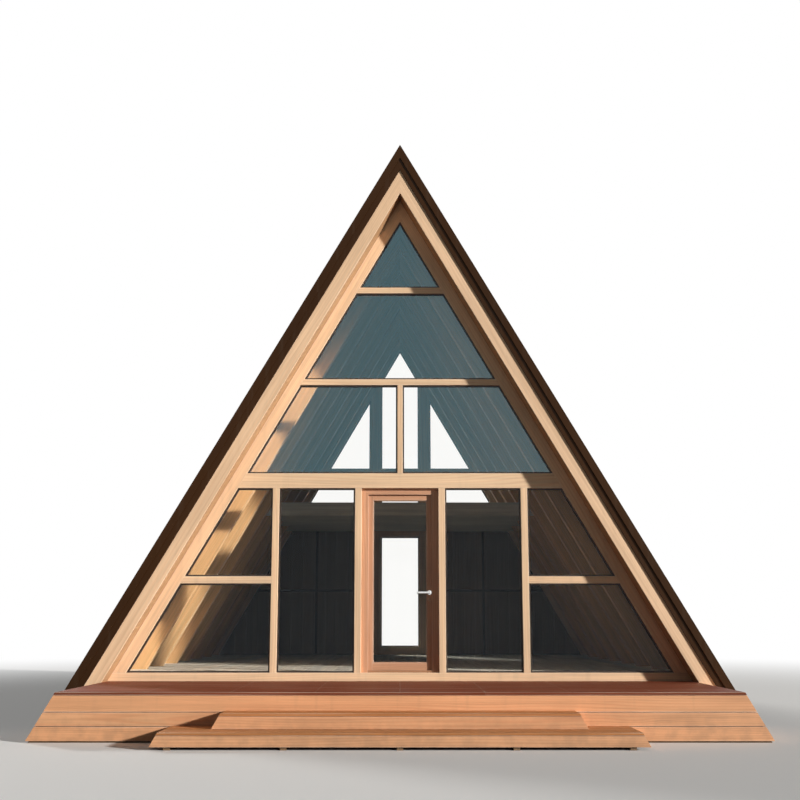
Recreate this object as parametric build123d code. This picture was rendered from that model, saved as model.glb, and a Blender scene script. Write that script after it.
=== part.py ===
"""Timber A-frame cabin with a glazed front, a seamed metal roof, a front deck and two steps.

Units are millimetres. +X is to the right and -Y is the front; Z = 0 is the ground. The origin is
the middle of the plan. Most pieces are prisms along Y, drawn as an outline of (x, z) points.
"Outward" is a distance measured square to the slope from the soffit, positive towards the weather.
"""
from build123d import *
import os
from math import cos, radians, tan

# Roof section
ROOF_PITCH = 60.0
SOFFIT_APEX = 6440.0
PANEL_THICKNESS = 280.0
SHEET_THICKNESS = 6.0
SHEET_GROUND_GAP = 40.0
SEAM_HEIGHT = 24.0
SEAM_WIDTH = 22.0
SEAM_PITCH = 480.0
RIDGE_CAP_WING = 220.0

# Raking ribs inside the roof
RIB_DEPTH = 165.0
RIB_WIDTH = 90.0
RIB_SPACING = 870.0
RIB_COUNT = 6
FIRST_RIB = 830.0

# Roof edge, front and back
ROOF_OVERHANG = 290.0
BARGEBOARD_WIDTH = 150.0
BARGEBOARD_THICKNESS = 22.0
VERGE_STEP_WIDTH = 75.0
VERGE_STEP_PROUD = 16.0
VERGE_CAP_PROUD = 16.0
VERGE_LAP = 110.0

# Levels above the ground
DECK_LEVEL = 490.0
FLOOR_LEVEL = 588.0
SIDE_RAIL_LEVEL = 1630.0
BEAM_LEVEL = 2775.0
MIDDLE_RAIL_LEVEL = 4052.0
TOP_RAIL_LEVEL = 5226.0

# Front wall
FRAME_DEPTH = 140.0
RAKE_WIDTH = 134.0
SIDE_RAIL_HEIGHT = 86.0
BEAM_HEIGHT = 182.0
UPPER_RAIL_HEIGHT = 75.0
OUTER_POST_X = 1457.0
DOOR_POST_X = 463.0
POST_WIDTH = 80.0
MULLION_WIDTH = 64.0

# Glazing
GASKET_WIDTH = 18.0
GASKET_DEPTH = 44.0
GASKET_RECESS = 22.0
GLASS_THICKNESS = 24.0
GLASS_BITE = 12.0

# Entrance door
DOOR_FRAME_RECESS = 50.0
DOOR_STOP_DEPTH = 25.0
DOOR_STOP_X = 380.0
DOOR_HEAD_HEIGHT = 73.0
DOOR_REBATE = 12.0
DOOR_EDGE_GAP = 8.0
DOOR_FACE_GAP = 5.0
LEAF_THICKNESS = 56.0
STILE_WIDTH = 53.0
LEAF_TOP_RAIL = 64.0
LEAF_BOTTOM_RAIL = 107.0
THRESHOLD_BASE = 8.0
THRESHOLD_UPSTAND = 24.0
THRESHOLD_GAP = 6.0

# Door furniture
LEVER_HEIGHT = 936.0
LEVER_LENGTH = 150.0
LEVER_DEPTH = 24.0
LEVER_THICKNESS = 12.0
LEVER_STANDOFF = 42.0
LEVER_ROUNDING = 4.5
NECK_RADIUS = 9.0
SPINDLE_RADIUS = 5.0
ROSE_RADIUS = 26.0
ROSE_THICKNESS = 8.0
TURNING_CLEARANCE = 0.06
LOCK_CASE_CLEARANCE = 1.0

# Door hinges, lift-off pattern
HINGE_COUNT = 3
HINGE_EDGE_OFFSET = 4.0
HINGE_FACE_OFFSET = 14.0
KNUCKLE_RADIUS = 8.0
KNUCKLE_LENGTH = 45.0
KNUCKLE_GAP = 0.3
HINGE_PIN_RADIUS = 4.0
HINGE_PLATE_WIDTH = 38.0
HINGE_PLATE_THICKNESS = 3.0
HINGE_END_DISTANCE = 220.0

# Cabin body
WALL_SPACING = 6340.0
FLOOR_THICKNESS = 200.0
BASE_BEAM_WIDTH = 140.0
BASE_BEAM_COUNT = 6
LOFT_DEPTH = 2820.0
LOFT_UNDERSIDE = 2788.0
LOFT_THICKNESS = 200.0

# Back wall
BACK_POST_X = 344.0
BACK_POST_WIDTH = 202.0
BACK_LIGHT_BOTTOM = 728.0
BACK_LIGHT_TOP = 2688.0
BACK_TRANSOM_LEVEL = 3688.0
BACK_TRANSOM_HEIGHT = 240.0
BACK_INFILL_THICKNESS = 100.0

# Deck
DECK_DEPTH = 1840.0
DECK_BOARD_THICKNESS = 28.0
DECK_NOSING = 10.0
DECK_JOIST_HEIGHT = 200.0
DECK_JOIST_WIDTH = 60.0
DECK_JOIST_COUNT = 9
DECK_BEARER_WIDTH = 120.0
SKIRT_THICKNESS = 25.0
SKIRT_BOARD_GAP = 5.0
SKIRT_TOP_BOARD_BOTTOM = 299.0
SKIRT_MIDDLE_BOARD_BOTTOM = 160.0
SKIRT_GROUND_GAP = 17.0

# Steps
STEP_TREAD_DEPTH = 300.0
STEP_TREAD_THICKNESS = 28.0
STEP_NOSING = 8.0
STEP_GROUND_GAP = 30.0
STEP_BEARER_WIDTH = 60.0
STEP_BEARER_COUNT = 5
UPPER_STEP_TOP = 312.0
UPPER_STEP_HALF_WIDTH = 1733.0
LOWER_STEP_TOP = 164.0
LOWER_STEP_HALF_WIDTH = 2264.0

# Worked out from the above
LEFT = -1
RIGHT = 1
SHEET_TOP = PANEL_THICKNESS + SHEET_THICKNESS
ROOF_OUTSIDE = SHEET_TOP + SEAM_HEIGHT
FRONT_REACH = DECK_DEPTH + 2 * STEP_TREAD_DEPTH
BACK_REACH = WALL_SPACING + ROOF_OVERHANG
WALL_FRONT = (FRONT_REACH - BACK_REACH) / 2
WALL_INSIDE = WALL_FRONT + FRAME_DEPTH
BACK_OUTSIDE = WALL_FRONT + WALL_SPACING
BACK_INSIDE = BACK_OUTSIDE - FRAME_DEPTH
ROOF_FRONT = WALL_FRONT - ROOF_OVERHANG
ROOF_BACK = BACK_OUTSIDE + ROOF_OVERHANG
VERGE_THICKNESS = VERGE_CAP_PROUD + VERGE_STEP_PROUD + BARGEBOARD_THICKNESS
DECK_FRONT = WALL_FRONT - DECK_DEPTH
BEAM_TOP = BEAM_LEVEL + BEAM_HEIGHT
DOOR_STOP_TOP = BEAM_LEVEL - DOOR_HEAD_HEIGHT
LOFT_TOP = LOFT_UNDERSIDE + LOFT_THICKNESS
LEAF_FRONT = WALL_FRONT + DOOR_FRAME_RECESS + DOOR_STOP_DEPTH + DOOR_FACE_GAP
LEAF_BACK = LEAF_FRONT + LEAF_THICKNESS
LEAF_X = DOOR_STOP_X + DOOR_REBATE
LEAF_BOTTOM = FLOOR_LEVEL + THRESHOLD_BASE + THRESHOLD_GAP
LEAF_TOP = DOOR_STOP_TOP + DOOR_REBATE
HINGE_X = -(LEAF_X + HINGE_EDGE_OFFSET)
HINGE_Y = LEAF_BACK + HINGE_FACE_OFFSET
SPINDLE_X = DOOR_STOP_X - STILE_WIDTH / 2
SPINDLE_Z = FLOOR_LEVEL + LEVER_HEIGHT


def slope_apex(outward=0.0):
    """Height of the ridge of the plane that lies outward of the soffit."""
    return SOFFIT_APEX + outward / cos(radians(ROOF_PITCH))


def slope_x(height, outward=0.0):
    """Half-width, at a height, of the plane that lies outward of the soffit."""
    return (slope_apex(outward) - height) / tan(radians(ROOF_PITCH))


def slope_height(x, outward=0.0):
    """Height, at a half-width, of the plane that lies outward of the soffit."""
    return slope_apex(outward) - x * tan(radians(ROOF_PITCH))


def outline_face(outline, y):
    """Flat face with an outline of (x, z) points, at a place along Y."""
    return make_face(Polyline(*[(x, y, z) for x, z in outline], close=True))


def prism(outline, y_front, y_back):
    """Straight bar along Y with an outline of (x, z) points."""
    return extrude(outline_face(outline, y_front), amount=y_back - y_front, dir=(0, 1, 0))


def block(x_span, y_span, z_span):
    """Rectangular block between two places on each axis."""
    centre = [(low + high) / 2 for low, high in (x_span, y_span, z_span)]
    size = [abs(high - low) for low, high in (x_span, y_span, z_span)]
    return Pos(*centre) * Box(*size)


def sloping_band(side, inner, outer, foot, y_span):
    """Bar that follows one slope, mitred at the ridge and cut level at its foot."""
    outline = [
        (0, slope_apex(inner)),
        (0, slope_apex(outer)),
        (side * slope_x(foot, outer), foot),
        (side * slope_x(foot, inner), foot),
    ]
    return prism(outline, *y_span)


def level_bar(bottom, top, y_span, outward=0.0):
    """Level bar from slope to slope, its ends cut to the slope."""
    outline = [
        (-slope_x(bottom, outward), bottom),
        (slope_x(bottom, outward), bottom),
        (slope_x(top, outward), top),
        (-slope_x(top, outward), top),
    ]
    return prism(outline, *y_span)


def side_outline(side, x_inner, bottom, top, outward):
    """Outline between an upright and the slope on one side."""
    return [
        (side * x_inner, bottom),
        (side * slope_x(bottom, outward), bottom),
        (side * slope_x(top, outward), top),
        (side * x_inner, top),
    ]


def rectangle_outline(x_left, x_right, bottom, top):
    """Outline of a rectangle in the plane of a wall."""
    return [(x_left, bottom), (x_right, bottom), (x_right, top), (x_left, top)]


def evenly_spaced(first, last, count):
    """Places from first to last in equal steps."""
    step = (last - first) / (count - 1)
    return [first + step * number for number in range(count)]


def roof_panel(side):
    """Insulated timber panel of one slope, standing on the ground."""
    y_span = (ROOF_FRONT + VERGE_THICKNESS, ROOF_BACK - VERGE_THICKNESS)
    return sloping_band(side, 0, PANEL_THICKNESS, 0, y_span)


def roof_sheet(side):
    """Metal sheet of one slope with its standing seams."""
    y_span = (ROOF_FRONT + VERGE_THICKNESS, ROOF_BACK - VERGE_THICKNESS)
    sheet = sloping_band(side, PANEL_THICKNESS, SHEET_TOP, SHEET_GROUND_GAP, y_span)
    length = ROOF_BACK - ROOF_FRONT - 2 * (VERGE_THICKNESS + VERGE_LAP)
    count = int(length // SEAM_PITCH)
    middle = (ROOF_FRONT + ROOF_BACK) / 2
    reach = (count - 1) * SEAM_PITCH / 2
    ridge_clear = RIDGE_CAP_WING * cos(radians(ROOF_PITCH))
    for y in evenly_spaced(middle - reach, middle + reach, count):
        outline = [
            (side * ridge_clear, slope_height(ridge_clear, SHEET_TOP)),
            (side * ridge_clear, slope_height(ridge_clear, ROOF_OUTSIDE)),
            (side * slope_x(SHEET_GROUND_GAP, ROOF_OUTSIDE), SHEET_GROUND_GAP),
            (side * slope_x(SHEET_GROUND_GAP, SHEET_TOP), SHEET_GROUND_GAP),
        ]
        sheet += prism(outline, y - SEAM_WIDTH / 2, y + SEAM_WIDTH / 2)
    return sheet


def ridge_cap():
    """Folded cap over the tops of both sheets, between the verges."""
    reach = RIDGE_CAP_WING * cos(radians(ROOF_PITCH))
    outline = [
        (0, slope_apex(ROOF_OUTSIDE)),
        (reach, slope_height(reach, ROOF_OUTSIDE)),
        (reach, slope_height(reach, SHEET_TOP)),
        (0, slope_apex(SHEET_TOP)),
        (-reach, slope_height(reach, SHEET_TOP)),
        (-reach, slope_height(reach, ROOF_OUTSIDE)),
    ]
    edge = VERGE_THICKNESS + VERGE_LAP
    return prism(outline, ROOF_FRONT + edge, ROOF_BACK - edge)


def verge(side, y_edge, inward):
    """Stepped metal verge: an inner step, a prouder cap, and a lap over the sheet."""
    y_back = y_edge + inward * VERGE_THICKNESS
    step_outer = BARGEBOARD_WIDTH + VERGE_STEP_WIDTH
    step_span = sorted((y_edge + inward * VERGE_CAP_PROUD, y_back))
    cap_span = sorted((y_edge, y_back))
    lap_span = sorted((y_back, y_back + inward * VERGE_LAP))
    step = sloping_band(side, BARGEBOARD_WIDTH, step_outer, SHEET_GROUND_GAP, step_span)
    cap = sloping_band(side, step_outer, ROOF_OUTSIDE, SHEET_GROUND_GAP, cap_span)
    lap = sloping_band(side, SHEET_TOP, ROOF_OUTSIDE, SHEET_GROUND_GAP, lap_span)
    return step + cap + lap


def bargeboard(side, y_edge, inward):
    """Timber board on the end of a roof panel, inside the verge."""
    y_face = y_edge + inward * (VERGE_THICKNESS - BARGEBOARD_THICKNESS)
    y_span = sorted((y_face, y_edge + inward * VERGE_THICKNESS))
    return sloping_band(side, 0, BARGEBOARD_WIDTH, SHEET_GROUND_GAP, y_span)


def wall_rake(side, y_span):
    """Raking frame member of a gable, standing on its sill."""
    return sloping_band(side, -RAKE_WIDTH, 0, FLOOR_LEVEL, y_span)


def glazing_unit(outline, y_front):
    """Glass unit and the dark gasket frame that holds it in one opening."""
    opening = outline_face(outline, y_front + GASKET_RECESS)
    sight_line = offset(opening, amount=-GASKET_WIDTH, kind=Kind.INTERSECTION)
    glass_edge = offset(opening, amount=GLASS_BITE - GASKET_WIDTH, kind=Kind.INTERSECTION)
    glass_start = Pos(0, (GASKET_DEPTH - GLASS_THICKNESS) / 2, 0)
    pane = extrude(glass_start * glass_edge, amount=GLASS_THICKNESS, dir=(0, 1, 0))
    frame = extrude(opening, amount=GASKET_DEPTH, dir=(0, 1, 0))
    frame -= extrude(sight_line, amount=GASKET_DEPTH, dir=(0, 1, 0))
    return pane, frame - pane


def front_lower_outlines():
    """Openings between sill and beam: two at each side of the wall and one beside the door."""
    outlines = []
    post_outside = OUTER_POST_X + POST_WIDTH
    rail_top = SIDE_RAIL_LEVEL + SIDE_RAIL_HEIGHT
    for side in (LEFT, RIGHT):
        inner = DOOR_POST_X + POST_WIDTH
        outlines.append(side_outline(side, post_outside, FLOOR_LEVEL, SIDE_RAIL_LEVEL, -RAKE_WIDTH))
        outlines.append(side_outline(side, post_outside, rail_top, BEAM_LEVEL, -RAKE_WIDTH))
        outlines.append(rectangle_outline(side * inner, side * OUTER_POST_X, FLOOR_LEVEL, BEAM_LEVEL))
    return outlines


def front_upper_outlines():
    """Openings above the beam: two beside the mullion, one over them, and the apex."""
    middle_top = MIDDLE_RAIL_LEVEL + UPPER_RAIL_HEIGHT
    apex_bottom = TOP_RAIL_LEVEL + UPPER_RAIL_HEIGHT
    edge = -RAKE_WIDTH
    outlines = []
    for side in (LEFT, RIGHT):
        outlines.append(side_outline(side, MULLION_WIDTH / 2, BEAM_TOP, MIDDLE_RAIL_LEVEL, edge))
    outlines.append([
        (-slope_x(middle_top, edge), middle_top),
        (slope_x(middle_top, edge), middle_top),
        (slope_x(TOP_RAIL_LEVEL, edge), TOP_RAIL_LEVEL),
        (-slope_x(TOP_RAIL_LEVEL, edge), TOP_RAIL_LEVEL),
    ])
    outlines.append([
        (-slope_x(apex_bottom, edge), apex_bottom),
        (slope_x(apex_bottom, edge), apex_bottom),
        (0, slope_apex(edge)),
    ])
    return outlines


def back_outlines():
    """Openings of the back wall: the tall light, and two storeys of glass over the infill."""
    transom_top = BACK_TRANSOM_LEVEL + BACK_TRANSOM_HEIGHT
    post_outside = BACK_POST_X + BACK_POST_WIDTH
    edge = -RAKE_WIDTH
    outlines = [
        rectangle_outline(-BACK_POST_X, BACK_POST_X, BACK_LIGHT_BOTTOM, BACK_LIGHT_TOP),
        rectangle_outline(-BACK_POST_X, BACK_POST_X, LOFT_TOP, BACK_TRANSOM_LEVEL),
        [
            (-BACK_POST_X, transom_top),
            (BACK_POST_X, transom_top),
            (BACK_POST_X, slope_height(BACK_POST_X, edge)),
            (0, slope_apex(edge)),
            (-BACK_POST_X, slope_height(BACK_POST_X, edge)),
        ],
    ]
    for side in (LEFT, RIGHT):
        outlines.append(side_outline(side, post_outside, LOFT_TOP, BACK_TRANSOM_LEVEL, edge))
        outlines.append([
            (side * post_outside, transom_top),
            (side * slope_x(transom_top, edge), transom_top),
            (side * post_outside, slope_height(post_outside, edge)),
        ])
    return outlines


def roof_ribs(side, loft):
    """Ribs of one slope, from the ridge down to the floor, cut where the loft floor runs in."""
    ribs = []
    for number in range(RIB_COUNT):
        y_front = WALL_FRONT + FIRST_RIB + number * RIB_SPACING
        rib = sloping_band(side, -RIB_DEPTH, 0, FLOOR_LEVEL, (y_front, y_front + RIB_WIDTH))
        ribs.append(rib - loft)
    return ribs


def roof_nodes():
    """Panels, sheets, ridge cap, verges and bargeboards."""
    nodes = {"ridge_cap": [ridge_cap()]}
    for side, side_name in ((LEFT, "left"), (RIGHT, "right")):
        nodes[f"roof_panel_{side_name}"] = [roof_panel(side)]
        nodes[f"roof_sheet_{side_name}"] = [roof_sheet(side)]
        for y_edge, inward, end_name in ((ROOF_FRONT, 1, "front"), (ROOF_BACK, -1, "back")):
            nodes[f"verge_{end_name}_{side_name}"] = [verge(side, y_edge, inward)]
            nodes[f"bargeboard_{end_name}_{side_name}"] = [bargeboard(side, y_edge, inward)]
    return nodes


def front_wall_nodes():
    """Timber frame of the glazed front, with its glass and gaskets."""
    y_span = (WALL_FRONT, WALL_INSIDE)
    post_outside = OUTER_POST_X + POST_WIDTH
    rail_top = SIDE_RAIL_LEVEL + SIDE_RAIL_HEIGHT
    rails = []
    posts = []
    for side in (LEFT, RIGHT):
        outline = side_outline(side, post_outside, SIDE_RAIL_LEVEL, rail_top, -RAKE_WIDTH)
        rails.append(prism(outline, *y_span))
        for inner in (OUTER_POST_X, DOOR_POST_X):
            x_span = (side * inner, side * (inner + POST_WIDTH))
            posts.append(block(x_span, y_span, (FLOOR_LEVEL, BEAM_LEVEL)))
    for level in (MIDDLE_RAIL_LEVEL, TOP_RAIL_LEVEL):
        rails.append(level_bar(level, level + UPPER_RAIL_HEIGHT, y_span, -RAKE_WIDTH))
    mullion_x = (-MULLION_WIDTH / 2, MULLION_WIDTH / 2)
    lower = [glazing_unit(outline, WALL_FRONT) for outline in front_lower_outlines()]
    upper = [glazing_unit(outline, WALL_FRONT) for outline in front_upper_outlines()]
    return {
        "front_sill": [level_bar(DECK_LEVEL, FLOOR_LEVEL, y_span)],
        "front_rake_left": [wall_rake(LEFT, y_span)],
        "front_rake_right": [wall_rake(RIGHT, y_span)],
        "front_beam": [level_bar(BEAM_LEVEL, BEAM_TOP, y_span, -RAKE_WIDTH)],
        "front_rails": rails,
        "front_posts": posts,
        "front_mullion": [block(mullion_x, y_span, (BEAM_TOP, MIDDLE_RAIL_LEVEL))],
        "front_glass_lower": [pane for pane, gasket in lower],
        "front_glass_upper": [pane for pane, gasket in upper],
        "front_gaskets": [gasket for pane, gasket in lower + upper],
    }


def door_frame_nodes():
    """Rebated jambs, head and threshold round the entrance door."""
    stop_y = (WALL_FRONT + DOOR_FRAME_RECESS, LEAF_FRONT - DOOR_FACE_GAP)
    rebate_y = (stop_y[1], WALL_INSIDE)
    rebate_x = LEAF_X + DOOR_EDGE_GAP
    opening_x = (-DOOR_POST_X, DOOR_POST_X)
    head = block(opening_x, stop_y, (DOOR_STOP_TOP, BEAM_LEVEL))
    head += block(opening_x, rebate_y, (LEAF_TOP + DOOR_EDGE_GAP, BEAM_LEVEL))
    jambs = []
    for side in (LEFT, RIGHT):
        stop_x = (side * DOOR_STOP_X, side * DOOR_POST_X)
        back_x = (side * rebate_x, side * DOOR_POST_X)
        jamb = block(stop_x, stop_y, (FLOOR_LEVEL, BEAM_LEVEL))
        jamb += block(back_x, rebate_y, (FLOOR_LEVEL, BEAM_LEVEL))
        jambs.append(jamb - head)
    threshold = block(opening_x, stop_y, (FLOOR_LEVEL, FLOOR_LEVEL + THRESHOLD_UPSTAND))
    threshold += block(opening_x, rebate_y, (FLOOR_LEVEL, FLOOR_LEVEL + THRESHOLD_BASE))
    for jamb in jambs:
        threshold -= jamb
    return {"door_jambs": jambs, "door_head": [head], "door_threshold": [threshold]}


def door_leaf_nodes():
    """Glazed leaf: a ring of stiles and rails, grooved for its glass."""
    glass_x = DOOR_STOP_X - STILE_WIDTH
    glass_bottom = FLOOR_LEVEL + LEAF_BOTTOM_RAIL
    glass_top = DOOR_STOP_TOP - LEAF_TOP_RAIL
    middle = (LEAF_FRONT + LEAF_BACK) / 2
    leaf_y = (LEAF_FRONT, LEAF_BACK)
    glass_y = (middle - GLASS_THICKNESS / 2, middle + GLASS_THICKNESS / 2)
    pane_x = (-glass_x - GLASS_BITE, glass_x + GLASS_BITE)
    pane = block(pane_x, glass_y, (glass_bottom - GLASS_BITE, glass_top + GLASS_BITE))
    leaf = block((-LEAF_X, LEAF_X), leaf_y, (LEAF_BOTTOM, LEAF_TOP))
    leaf -= block((-glass_x, glass_x), leaf_y, (glass_bottom, glass_top))
    leaf -= pane
    leaf -= along_y(SPINDLE_RADIUS + LOCK_CASE_CLEARANCE, leaf_y)
    return {"door_leaf": [leaf], "door_glass": [pane]}


def along_y(radius, y_span):
    """Round bar on the spindle's axis between two places along Y."""
    length = y_span[1] - y_span[0]
    centre = Pos(SPINDLE_X, (y_span[0] + y_span[1]) / 2, SPINDLE_Z)
    return centre * Rot(90, 0, 0) * Cylinder(radius, length)


def lever_handle(y_face, outward):
    """One lever: a neck out of its rose and a flat, rounded grip towards the hinges."""
    y_grip = y_face + outward * LEVER_STANDOFF
    grip_y = sorted((y_grip, y_grip + outward * LEVER_THICKNESS))
    grip_x = (SPINDLE_X - LEVER_LENGTH, SPINDLE_X + NECK_RADIUS)
    grip_z = (SPINDLE_Z - LEVER_DEPTH / 2, SPINDLE_Z + LEVER_DEPTH / 2)
    grip = block(grip_x, grip_y, grip_z)
    grip = fillet(grip.edges(), LEVER_ROUNDING)
    middle = (grip_y[0] + grip_y[1]) / 2
    return grip + along_y(NECK_RADIUS, sorted((y_face, middle)))


def door_furniture_nodes():
    """Roses on both faces of the leaf, and both levers on their spindle."""
    bore = NECK_RADIUS + TURNING_CLEARANCE
    roses = []
    lever = along_y(SPINDLE_RADIUS, (LEAF_FRONT, LEAF_BACK))
    for y_face, outward in ((LEAF_FRONT, -1), (LEAF_BACK, 1)):
        rose_y = sorted((y_face, y_face + outward * ROSE_THICKNESS))
        roses.append(along_y(ROSE_RADIUS, rose_y) - along_y(bore, rose_y))
        lever += lever_handle(y_face, outward)
    return {"door_roses": roses, "door_lever": [lever]}


def hinge_knuckle(bottom, bore_radius=0.0):
    """One knuckle on the hinge axis, with or without a bore for the pin."""
    place = Pos(HINGE_X, HINGE_Y, bottom + KNUCKLE_LENGTH / 2)
    knuckle = place * Cylinder(KNUCKLE_RADIUS, KNUCKLE_LENGTH)
    if bore_radius:
        knuckle -= place * Cylinder(bore_radius, KNUCKLE_LENGTH)
    return knuckle


def hinge_plate(direction, y_face, bottom, bore_radius=0.0):
    """Screwed plate of one hinge half and the web that joins it to its knuckle."""
    z_span = (bottom, bottom + KNUCKLE_LENGTH)
    plate_x = (HINGE_X + direction * KNUCKLE_RADIUS, HINGE_X + direction * HINGE_PLATE_WIDTH)
    plate_y = (y_face, y_face + HINGE_PLATE_THICKNESS)
    web_x = (HINGE_X, HINGE_X + direction * (KNUCKLE_RADIUS + HINGE_PLATE_THICKNESS))
    web = block(web_x, (y_face + HINGE_PLATE_THICKNESS / 2, HINGE_Y), z_span)
    web -= Pos(HINGE_X, HINGE_Y, bottom + KNUCKLE_LENGTH / 2) * Cylinder(KNUCKLE_RADIUS / 2, KNUCKLE_LENGTH)
    return block(plate_x, plate_y, z_span) + web


def hinge_nodes():
    """Lift-off hinges: pins and lower knuckles on the jamb, upper knuckles on the leaf."""
    first = LEAF_BOTTOM + HINGE_END_DISTANCE
    last = LEAF_TOP - HINGE_END_DISTANCE
    jamb_halves = []
    leaf_halves = []
    bore = HINGE_PIN_RADIUS + TURNING_CLEARANCE
    for middle in evenly_spaced(first, last, HINGE_COUNT):
        lower = middle - KNUCKLE_LENGTH - KNUCKLE_GAP
        pin = Pos(HINGE_X, HINGE_Y, middle) * Cylinder(HINGE_PIN_RADIUS, 2 * KNUCKLE_LENGTH)
        jamb_half = hinge_knuckle(lower) + pin
        jamb_halves.append(jamb_half + hinge_plate(LEFT, WALL_INSIDE, lower))
        leaf_half = hinge_knuckle(middle, bore) + hinge_plate(RIGHT, LEAF_BACK, middle)
        leaf_halves.append(leaf_half)
    return {"door_hinge_pins": jamb_halves, "door_hinge_knuckles": leaf_halves}


def loft_floor():
    """Loft floor, from slope to slope against the back wall."""
    return level_bar(LOFT_UNDERSIDE, LOFT_TOP, (BACK_INSIDE - LOFT_DEPTH, BACK_INSIDE))


def base_nodes():
    """Base beams on the ground, the floor slab, the loft floor and the ribs that stand on the floor."""
    floor_bottom = FLOOR_LEVEL - FLOOR_THICKNESS
    beams = [
        level_bar(0, DECK_LEVEL, (WALL_FRONT, WALL_INSIDE)),
        level_bar(0, DECK_LEVEL, (BACK_INSIDE, BACK_OUTSIDE)),
    ]
    places = evenly_spaced(WALL_FRONT, BACK_INSIDE, BASE_BEAM_COUNT)[1:-1]
    for y in places:
        beams.append(level_bar(0, floor_bottom, (y, y + BASE_BEAM_WIDTH)))
    loft = loft_floor()
    return {
        "base_beams": beams,
        "floor_slab": [level_bar(floor_bottom, FLOOR_LEVEL, (WALL_INSIDE, BACK_INSIDE))],
        "loft_floor": [loft],
        "roof_ribs_left": roof_ribs(LEFT, loft),
        "roof_ribs_right": roof_ribs(RIGHT, loft),
    }


def back_post(side, y_span):
    """Tall post of the back wall, its top cut to the raking member."""
    outside = BACK_POST_X + BACK_POST_WIDTH
    outline = [
        (side * BACK_POST_X, FLOOR_LEVEL),
        (side * outside, FLOOR_LEVEL),
        (side * outside, slope_height(outside, -RAKE_WIDTH)),
        (side * BACK_POST_X, slope_height(BACK_POST_X, -RAKE_WIDTH)),
    ]
    return prism(outline, *y_span)


def back_wall_nodes():
    """Back gable: posts and rails, solid infill below the loft, and glass."""
    y_span = (BACK_INSIDE, BACK_OUTSIDE)
    infill_y = (BACK_OUTSIDE - BACK_INFILL_THICKNESS, BACK_OUTSIDE)
    post_outside = BACK_POST_X + BACK_POST_WIDTH
    transom = (BACK_TRANSOM_LEVEL, BACK_TRANSOM_LEVEL + BACK_TRANSOM_HEIGHT)
    rails = [block((-BACK_POST_X, BACK_POST_X), y_span, (FLOOR_LEVEL, BACK_LIGHT_BOTTOM))]
    rails.append(block((-BACK_POST_X, BACK_POST_X), y_span, (BACK_LIGHT_TOP, LOFT_TOP)))
    rails.append(block((-BACK_POST_X, BACK_POST_X), y_span, transom))
    infill = []
    for side in (LEFT, RIGHT):
        for bottom, top in ((LOFT_UNDERSIDE, LOFT_TOP), transom):
            outline = side_outline(side, post_outside, bottom, top, -RAKE_WIDTH)
            rails.append(prism(outline, *y_span))
        outline = side_outline(side, post_outside, FLOOR_LEVEL, LOFT_UNDERSIDE, -RAKE_WIDTH)
        infill.append(prism(outline, *infill_y))
    unit_front = BACK_OUTSIDE - GASKET_DEPTH - GASKET_RECESS
    units = [glazing_unit(outline, unit_front - GASKET_RECESS) for outline in back_outlines()]
    return {
        "back_sill": [level_bar(DECK_LEVEL, FLOOR_LEVEL, y_span)],
        "back_rake_left": [wall_rake(LEFT, y_span)],
        "back_rake_right": [wall_rake(RIGHT, y_span)],
        "back_posts": [back_post(side, y_span) for side in (LEFT, RIGHT)],
        "back_rails": rails,
        "back_infill": infill,
        "back_glass": [pane for pane, gasket in units],
        "back_gaskets": [gasket for pane, gasket in units],
    }


def deck_nodes():
    """Deck top, its joists and bearers, and the boarded skirt on three sides."""
    underside = DECK_LEVEL - DECK_BOARD_THICKNESS
    joist_bottom = underside - DECK_JOIST_HEIGHT
    skirt_front = DECK_FRONT + DECK_NOSING
    frame_front = skirt_front + SKIRT_THICKNESS
    reach = slope_x(underside, -SKIRT_THICKNESS) - DECK_JOIST_WIDTH / 2
    joists = []
    for x in evenly_spaced(-reach, reach, DECK_JOIST_COUNT):
        x_span = (x - DECK_JOIST_WIDTH / 2, x + DECK_JOIST_WIDTH / 2)
        joists.append(block(x_span, (frame_front, WALL_FRONT), (joist_bottom, underside)))
    bearers = []
    for y in (frame_front, (frame_front + WALL_FRONT) / 2):
        y_span = (y, y + DECK_BEARER_WIDTH)
        bearers.append(level_bar(0, joist_bottom, y_span, -SKIRT_THICKNESS))
    courses = (
        (SKIRT_TOP_BOARD_BOTTOM, underside),
        (SKIRT_MIDDLE_BOARD_BOTTOM, SKIRT_TOP_BOARD_BOTTOM - SKIRT_BOARD_GAP),
        (SKIRT_GROUND_GAP, SKIRT_MIDDLE_BOARD_BOTTOM - SKIRT_BOARD_GAP),
    )
    front = [level_bar(bottom, top, (skirt_front, frame_front)) for bottom, top in courses]
    sides = []
    for side in (LEFT, RIGHT):
        for bottom, top in courses:
            outline = [
                (side * slope_x(bottom, -SKIRT_THICKNESS), bottom),
                (side * slope_x(bottom), bottom),
                (side * slope_x(top), top),
                (side * slope_x(top, -SKIRT_THICKNESS), top),
            ]
            sides.append(prism(outline, frame_front, WALL_FRONT))
    return {
        "deck_top": [level_bar(underside, DECK_LEVEL, (DECK_FRONT, WALL_FRONT))],
        "deck_joists": joists,
        "deck_bearers": bearers,
        "deck_skirt_front": front,
        "deck_skirt_sides": sides,
    }


def raked_bar(half_width, level, bottom, top, y_span):
    """Level bar with ends raked like the slope, of a given half-width at one level."""
    spread = 1 / tan(radians(ROOF_PITCH))
    low = half_width + (level - bottom) * spread
    high = half_width + (level - top) * spread
    return prism([(-low, bottom), (low, bottom), (high, top), (-high, top)], *y_span)


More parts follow.
